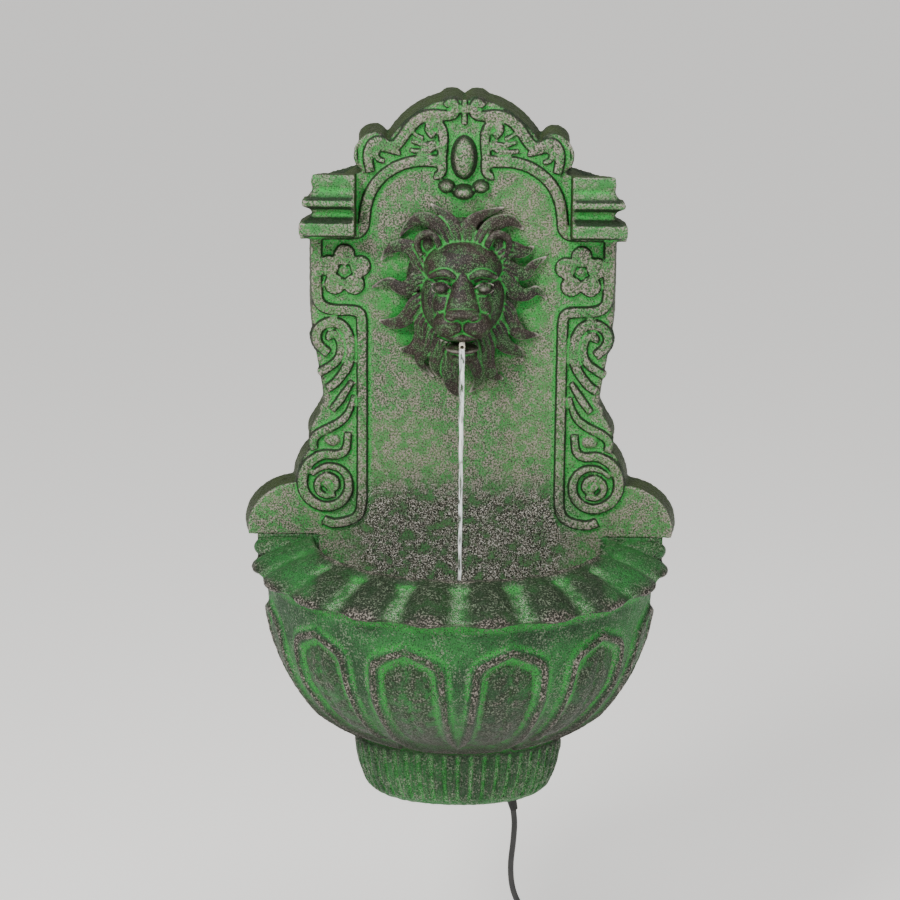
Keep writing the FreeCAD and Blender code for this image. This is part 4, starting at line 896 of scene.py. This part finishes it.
def turned_basin():
    bm = bmesh.new()
    outer, inner = even(OUTSIDE, OUTSIDE_STEP), even(INSIDE, INSIDE_STEP)
    verts = [bm.verts.new(spot(max(r, 0.0), AXIS_Y, z)) for r, z in outer + inner]
    pairs = list(zip(verts, verts[1:])) + [(verts[-1], verts[0])]
    axis_edge = len(outer) - 1
    edges = [bm.edges.new(pair) for index, pair in enumerate(pairs) if index != axis_edge]
    bmesh.ops.spin(bm, geom=verts + edges, cent=spot(0, AXIS_Y, 0), axis=(0, 0, 1), angle=-pi,
                   steps=SPIN_STEPS, use_merge=False)
    bmesh.ops.remove_doubles(bm, verts=bm.verts, dist=0.00002)
    for vertex in bm.verts:
        _, y, z = from_rim(vertex.co)
        vertex.co.y = (AXIS_Y + (y - AXIS_Y) * oval_at(z)) * MM
    rim = [edge for edge in bm.edges if edge.is_boundary]
    for _ in range(STEPS_BACK):
        grown = bmesh.ops.extrude_edge_only(bm, edges=rim)["geom"]
        bmesh.ops.translate(bm, verts=only(bmesh.types.BMVert, grown),
                            vec=(0, -AXIS_Y / STEPS_BACK * MM, 0))
        rim = only(bmesh.types.BMEdge, grown)
    bmesh.ops.triangle_fill(bm, edges=rim, use_beauty=True)
    bmesh.ops.recalc_face_normals(bm, faces=bm.faces)
    bm.normal_update()
    print("turned basin faces", len(bm.faces), "open edges",
          sum(1 for edge in bm.edges if edge.is_boundary))
    return bm


# %% Carving on the basin
LOBE_STEP = 18.0
LOBE_RISE = 6.5
VALLEY_SINK = 6.3
ARCH_ANGLES = (-75, -45, -15, 15, 45, 75)
ARCH_LEAN = {15: 9.0, 45: 29.0, 75: 18.0}
ARCH_FOOT = {15: 31.0, 45: 18.0, 75: 12.0}
ARCH_HALF = 42.0
ARCH_TOP = -60.0
ARCH_BOTTOM = -229.0
ARCH_DROP = 17.0
ARCH_BAND = 10.0
ARCH_ROUND = 5.0
BAND_RISE = 5.4
GROOVE_SINK = 1.4
REED_STEP = 7.5
REED_RISE = 0.9
REED_SINK = 3.8


def lip_relief(angle, radius, z):
    """How far the lip moves out, lobe by lobe, and the share of a valley between two lobes."""
    share = abs((angle / LOBE_STEP + 0.5) % 1.0 - 0.5) * 2
    fade = step_up(radius, 166, 184) * step_up(z, -38, -33)
    out = LOBE_RISE * step_up(share, 0.0, 0.9) - VALLEY_SINK
    return fade * out, fade * (1 - step_up(share, 0.0, 0.44))


def arch_inside(across, z, centre):
    """How far inside the arch's outline a point lies, in millimetres; below zero is outside."""
    lean = ARCH_LEAN[abs(centre)] * (1 if centre > 0 else -1)
    foot = ARCH_FOOT[abs(centre)]
    down = min(1.0, max(0.0, (-130 - z) / 100.0))
    middle = -lean * down * 0.35
    half = ARCH_HALF + (foot - ARCH_HALF) * down
    sides = half - abs(across - middle)
    roof = (ARCH_TOP - ARCH_DROP * abs(across) / ARCH_HALF) - z
    edges = (sides, roof * 0.93, z - ARCH_BOTTOM)
    return -ARCH_ROUND * log(sum(exp(-max(edge, -200.0) / ARCH_ROUND) for edge in edges))


def bowl_relief(x, y, z, angle):
    """How far the bowl's skin moves out, and how far the place lies inside the arch's band."""
    centre = min(ARCH_ANGLES, key=lambda a: abs(a - angle))
    turn = radians(centre)
    across = x * cos(turn) + (y - AXIS_Y) * sin(turn)
    inside = arch_inside(across, z, centre)
    band = exp(-((inside - ARCH_BAND / 2) / (ARCH_BAND * 0.45)) ** 2)
    groove = exp(-((inside - ARCH_BAND * 1.5) / 2.8) ** 2)
    crease = 1.5 * exp(-(across / 3.6) ** 2) * step_up(inside, 16, 26)
    swell = 2.0 * step_up(inside, 17, 32)
    return BAND_RISE * band - GROOVE_SINK * groove - crease + swell, step_up(inside, 12, 18)


def foot_relief(angle, z):
    """How far the foot moves out, reed by reed, and the share of a groove between two reeds."""
    off = abs((angle + REED_STEP / 2) % REED_STEP - REED_STEP / 2)
    fade = step_up(z, -301, -293) * step_up(-z, 238, 243)
    groove = exp(-(off / 1.3) ** 2)
    return (REED_RISE - REED_SINK * groove) * fade, groove * fade


def push_out(bm):
    moves = {}
    in_arch = bm.verts.layers.float.new("inside")
    in_valley = bm.verts.layers.float.new("valley")
    for vertex in bm.verts:
        x, y, z = from_rim(vertex.co)
        from_axis = y - AXIS_Y
        oval = oval_at(z)
        radius = hypot(x, min(from_axis, 0) / oval)
        angle = 90.0 if from_axis >= 0 else abs(np.degrees(np.arctan2(x, -from_axis / oval)))
        angle = angle if x >= 0 else -angle
        outward = vertex.normal.x * x + vertex.normal.y * min(from_axis, 0) > 0
        on_top = vertex.normal.z > 0.3 and z > -36 and radius > 164
        if y > -1.0 or not (outward or on_top):
            continue
        if z > -38 and radius > 164:
            moves[vertex], vertex[in_valley] = lip_relief(angle, radius, z)
        elif -231 < z < -45:
            moves[vertex], vertex[in_arch] = bowl_relief(x, y, z, angle)
        elif z < -237 and vertex.normal.z > -0.8:
            moves[vertex], vertex[in_valley] = foot_relief(angle, z)
    shifts = [(vertex, vertex.normal.copy(), out) for vertex, out in moves.items()]
    for vertex, normal, out in shifts:
        vertex.co += normal * out * MM
    print("carved vertices", len(shifts))


# %% Back wall and the lip's ends
WALL_DEPTH = 12.0
WALL_NARROWED = 0.985
BLOCK_SIZE = (71.0, 39.0, 32.6)
LOBE_SIZE = (35.0, 30.0, 15.0)


def back_wall(bm):
    """The model's own back wall and ledges, a hair narrower so that the turned skin covers them."""
    wall = bmesh.new()
    wall.from_mesh(frame["nodes"]["basin"].data)
    bmesh.ops.remove_doubles(wall, verts=wall.verts, dist=0.00001)
    bmesh.ops.triangle_fill(wall, edges=cut_off(wall, -WALL_DEPTH, -1), use_beauty=True)
    bmesh.ops.scale(wall, verts=wall.verts, vec=(WALL_NARROWED, 1.0, 1.0))
    bmesh.ops.recalc_face_normals(wall, faces=wall.faces)
    bm.from_mesh(mesh_from(wall, "wall"))


def lip_ends(bm):
    """A block with a rounded lobe in front, where each end of the lip meets the panel's ear."""
    for side in (-1, 1):
        block = bmesh.ops.create_cube(bm, size=1.0, matrix=sized((side * 190.5, -20, -16.6), BLOCK_SIZE))
        edges = list({edge for vertex in block["verts"] for edge in vertex.link_edges})
        bmesh.ops.subdivide_edges(bm, edges=edges, cuts=11, use_grid_fill=True)
        bmesh.ops.create_uvsphere(bm, u_segments=48, v_segments=24, radius=1.0,
                                  matrix=sized((side * 196, -31, -17), LOBE_SIZE))


basin_bm = turned_basin()
push_out(basin_bm)
back_wall(basin_bm)
lip_ends(basin_bm)
basin = link("turned_basin", mesh_from(basin_bm, "turned_basin"))
mark_relief(basin, rounds=40)
sand_cast(basin, height=0.5, size=6.0, seed=15.0)
finish_casting(basin, basin_resin, "basin")

# %% [markdown]
# The water falls from the spout in one thin rope that narrows as it speeds up, and fills the basin to
# well below the rim. It is not part of the model, so it rides with the fountain and replaces none of
# its pieces.

# %% Water
WATER_LEVEL = -62.0
PIPE_R = 3.2
PIPE_BORE_R = 2.2
PIPE_START_Y = -66.0
SPOUT_END = (0.0, -113.0, 229.0)
STREAM_DROPS = 24
STREAM_R = 3.3
STREAM_THINS = 1.7
STREAM_SWELLS = 0.3
STREAM_SWING = 9.0
STREAM_WAVERS = 0.5
WAVE = 9.0
STREAK = 2.4
STREAK_STRETCH = 0.14
POOL_R = 203.0
POOL_BACK_Y = -8.0
POOL_THICK = 4.0
POOL_STEPS = 48


def thin_spout():
    """The photograph's pipe, which is thinner and shorter than the model's, on the same line."""
    bm = bmesh.new()
    _, tip, height = SPOUT_END
    profile = [(PIPE_BORE_R, PIPE_START_Y), (PIPE_R, PIPE_START_Y), (PIPE_R, tip), (PIPE_BORE_R, tip)]
    verts = [bm.verts.new(spot(radius, y, height)) for radius, y in profile]
    edges = [bm.edges.new(pair) for pair in zip(verts, verts[1:] + verts[:1])]
    bmesh.ops.spin(bm, geom=verts + edges, cent=spot(0, 0, height), axis=(0, 1, 0), angle=2 * pi,
                   steps=40, use_merge=True)
    bmesh.ops.remove_doubles(bm, verts=bm.verts, dist=0.00001)
    bmesh.ops.recalc_face_normals(bm, faces=bm.faces)
    return link("thin_spout", mesh_from(bm, "thin_spout"))


def clear_water():
    """Clear water, with cloudy white streaks drawn out along its fall; the streaks also glow a little, as
    painted light.
    """
    material, tree = new_material("clear_running_water")
    place = add(tree, "ShaderNodeTexCoord").outputs["Object"]
    wave = add(tree, "ShaderNodeTexNoise", {"Scale": per_mm(WAVE), "Detail": 3.0}, {"Vector": place})
    bump = add(tree, "ShaderNodeBump", {"Strength": 0.5, "Distance": MM},
               {"Height": wave.outputs["Fac"]})
    along = add(tree, "ShaderNodeMapping", {"Scale": (1.0, 1.0, STREAK_STRETCH)}, {"Vector": place})
    streak = add(tree, "ShaderNodeTexNoise", {"Scale": per_mm(STREAK), "Detail": 2.0},
                 {"Vector": along.outputs[0]}).outputs["Fac"]
    # Where the streaks are cloudy they also glow a little through emission: painted light.
    shader = add(tree, "ShaderNodeBsdfPrincipled",
                 {"Base Color": colour("#f4f8f6"), "Roughness": 0.06, "IOR": 1.333,
                  "Emission Color": colour("#ffffff")},
                 {"Normal": bump.outputs[0],
                  "Transmission Weight": ramp(tree, streak, 0.42, 0.56, 0.3, 1.0),
                  "Emission Strength": ramp(tree, streak, 0.56, 0.42, 0.0, 0.35)})
    add(tree, "ShaderNodeOutputMaterial", links={"Surface": shader.outputs[0]})
    return material


def falling_stream():
    """The rope of water swings forward as it falls, and swells and wavers a little."""
    x, y, z = SPOUT_END
    points, radii = [], []
    for drop in range(STREAM_DROPS + 1):
        share = drop / STREAM_DROPS
        forward = -STREAM_SWING * share ** 0.5
        wobble = STREAM_WAVERS * sin(drop * 1.7)
        down = z - 1.5 - (z - WATER_LEVEL) * share
        points.append((x + wobble * share, y + forward + 1.0, down))
        radii.append(STREAM_R - STREAM_THINS * share ** 0.5 + STREAM_SWELLS * sin(drop * 2.3))
    line = round_line("stream_line", points, radii, unit=MM, around=5, along=12)
    mesh = final_mesh(line)
    bpy.data.objects.remove(line)
    return link("falling_stream", mesh)


def water_surface():
    """A thin half disc, carried back to the wall."""
    bm = bmesh.new()
    for step in range(POOL_STEPS + 1):
        angle = pi * step / POOL_STEPS
        bm.verts.new(spot(POOL_R * cos(angle), AXIS_Y - POOL_R * sin(angle), WATER_LEVEL))
    bm.verts.new(spot(-POOL_R, POOL_BACK_Y, WATER_LEVEL))
    bm.verts.new(spot(POOL_R, POOL_BACK_Y, WATER_LEVEL))
    face = bm.faces.new(bm.verts)
    grown = bmesh.ops.extrude_face_region(bm, geom=[face])["geom"]
    bmesh.ops.translate(bm, verts=only(bmesh.types.BMVert, grown), vec=(0, 0, -POOL_THICK * MM))
    bmesh.ops.recalc_face_normals(bm, faces=bm.faces)
    return link("water_surface", mesh_from(bm, "pool"))


water = clear_water()
for piece in (falling_stream(), water_surface()):
    piece.data.materials.append(water)
    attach(piece, "fountain")
pipe = thin_spout()
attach(pipe, "fountain")
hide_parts("spout_tube")
print("water level", WATER_LEVEL, "mm from the rim, pipe", 2 * PIPE_R, "mm across")

# %% [markdown]
# The small parts keep the model's own meshes. Each gets the finish of what it is: moulded black
# plastic for the pump, zinc on the hanger plates, stainless steel on the bolts, rubber and PVC.

# %% Small parts' finishes


def plain_finish(name, code, second, roughness, grain, depth, metal=0.0, through=0.0):
    """Two close tones and a grain in millimetres, mostly drawn coarser than it is so that it shows."""
    material, tree = new_material(name)
    place = add(tree, "ShaderNodeTexCoord").outputs["Object"]
    texture = add(tree, "ShaderNodeTexNoise", {"Scale": per_mm(grain), "Detail": 4.0},
                  {"Vector": place})
    broad = add(tree, "ShaderNodeTexNoise", {"Scale": per_mm(grain * 9), "Detail": 3.0},
                {"Vector": place})
    tone = blended(tree, ramp(tree, broad.outputs["Fac"], 0.35, 0.65), code, second)
    bump = add(tree, "ShaderNodeBump", {"Strength": 0.3, "Distance": depth * MM},
               {"Height": texture.outputs["Fac"]})
    values = {"Metallic": metal, "Transmission Weight": through}
    shader = add(tree, "ShaderNodeBsdfPrincipled", values,
                 {"Base Color": tone, "Normal": bump.outputs[0],
                  "Roughness": ramp(tree, texture.outputs["Fac"], 0.3, 0.7, roughness * 0.8,
                                    min(1.0, roughness * 1.2))})
    add(tree, "ShaderNodeOutputMaterial", links={"Surface": shader.outputs[0]})
    return material


# Each line gives a name, two tones, a roughness, the grain and its depth, and where they are not
# zero, how far it is metal and how far it lets light through.
SMALL_PARTS = {
    # Plating: a cool grey with blurred highlights.
    "zinc_steel": ("zinc_plated_steel", "#9fa1a3", "#b4b5b2", 0.38, 0.8, 0.05, 1.0),
    # Bare metal: paler than the plating, with sharper highlights.
    "stainless_steel": ("stainless_steel", "#b8b8b6", "#c6c6c4", 0.3, 0.6, 0.03, 1.0),
    # Drawn strip: warm yellow and fairly bright.
    "brass": ("drawn_brass", "#b98f47", "#c79d55", 0.32, 0.6, 0.03, 1.0),
    # Extruded tube: off-white with a soft gloss.
    "spout_pipe": ("pale_rigid_pipe", "#d9d4c4", "#c9c3b0", 0.3, 1.2, 0.05),
    # Soft tube: glossy, nearly white, and light comes through.
    "clear_hose": ("clear_soft_pvc", "#dfe6df", "#cfd8cf", 0.15, 2.0, 0.05, 0.0, 0.7),
    # Moulded: nearly black, with a satin skin.
    "pump_plastic": ("moulded_black_plastic", "#17181a", "#1f2022", 0.48, 0.7, 0.08),
    # Moulded: off-white, a little smoother than the pump.
    "impeller_plastic": ("moulded_white_plastic", "#dcdcd6", "#cfcfc8", 0.4, 0.8, 0.05),
    # Pressed and fired powder: dark grey and dull, with a trace of metal.
    "ferrite": ("sintered_ferrite", "#242426", "#2e2e30", 0.6, 0.5, 0.08, 0.3),
    # Ground smooth: white with hard, sharp highlights.
    "ceramic_white": ("ground_ceramic", "#e8e6dc", "#dedbd0", 0.12, 0.5, 0.02),
    # Moulded: black with hardly any gloss.
    "black_rubber": ("moulded_rubber", "#151515", "#1e1e1d", 0.7, 0.9, 0.1),
    # Open cells: black, rough and without gloss.
    "sponge": ("open_cell_foam", "#141416", "#1d1d20", 0.95, 1.6, 1.0),
    # Extruded: dark grey with a soft shine.
    "cord_jacket": ("extruded_pvc_jacket", "#232323", "#2c2b2a", 0.5, 1.0, 0.06),
}
FINISHES = {slot: plain_finish(*values) for slot, values in SMALL_PARTS.items()}
FINISHES.update(verdigris_resin=basin_resin, bronzed_resin=lion_resin)

slots = {part["node"]: part["material_slot"] for part in frame["record"]["subparts"]}
for name, node in frame["nodes"].items():
    node.data.materials.clear()
    node.data.materials.append(FINISHES[slots[name]])
lead.data.materials.append(FINISHES["cord_jacket"])
pipe.data.materials.append(FINISHES["spout_pipe"])
pipe.data.shade_smooth()
print("finished nodes", len(slots))

# %% [markdown]
# A product studio: a wide pale floor just below the plug, a soft light from the upper left, a wider
# and weaker one from the right to open the shadows, one from above, and an even sky.

# %% Floor and light
FLOOR_GAP = 0.003
FLOOR_HALF = 60.0
SKY_STRENGTH = 0.42


def soft_light(name, place, aim, size, power):
    data = bpy.data.lights.new(name, "AREA")
    data.shape = "DISK"
    data.size = size
    data.energy = power
    light = link(name, data)
    light.location = place
    light.rotation_euler = (Vector(aim) - Vector(place)).to_track_quat("-Z", "Y").to_euler()


def pale_floor():
    bm = bmesh.new()
    bmesh.ops.create_grid(bm, x_segments=1, y_segments=1, size=FLOOR_HALF)
    bmesh.ops.translate(bm, verts=bm.verts, vec=(0, 0, cad_low.z - FLOOR_GAP))
    floor = link("floor", mesh_from(bm, "floor"))
    material, tree = new_material("pale_studio_floor")
    pale = colour("#f4f2ee")
    shader = add(tree, "ShaderNodeBsdfPrincipled", {"Base Color": pale, "Roughness": 0.85,
                                                    "Emission Color": pale, "Emission Strength": 0.6})
    add(tree, "ShaderNodeOutputMaterial", links={"Surface": shader.outputs[0]})
    floor.data.materials.append(material)


pale_floor()
soft_light("key", place=(-1.3, -1.9, 1.6), aim=middle, size=0.8, power=74)
soft_light("fill", place=(1.8, -1.8, 0.2), aim=middle, size=1.8, power=12)
soft_light("top", place=(0.2, -0.5, 1.9), aim=middle, size=0.8, power=20)
world = bpy.data.worlds.new("studio")
world.use_nodes = True
world.node_tree.nodes["Background"].inputs["Color"].default_value = colour("#f3f4f6")
world.node_tree.nodes["Background"].inputs["Strength"].default_value = SKY_STRENGTH
bpy.context.scene.world = world
print("lights", len(bpy.data.lights), "floor at z", round(cad_low.z - FLOOR_GAP, 3))

# %% [markdown]
# The looks stay inside the model's own box, but for less than a tenth of a millimetre at the wall.
# The model's own box is printed.

# %% Print the model's box
print("cad", [round(v, 4) for v in (*cad_low, *cad_high)])
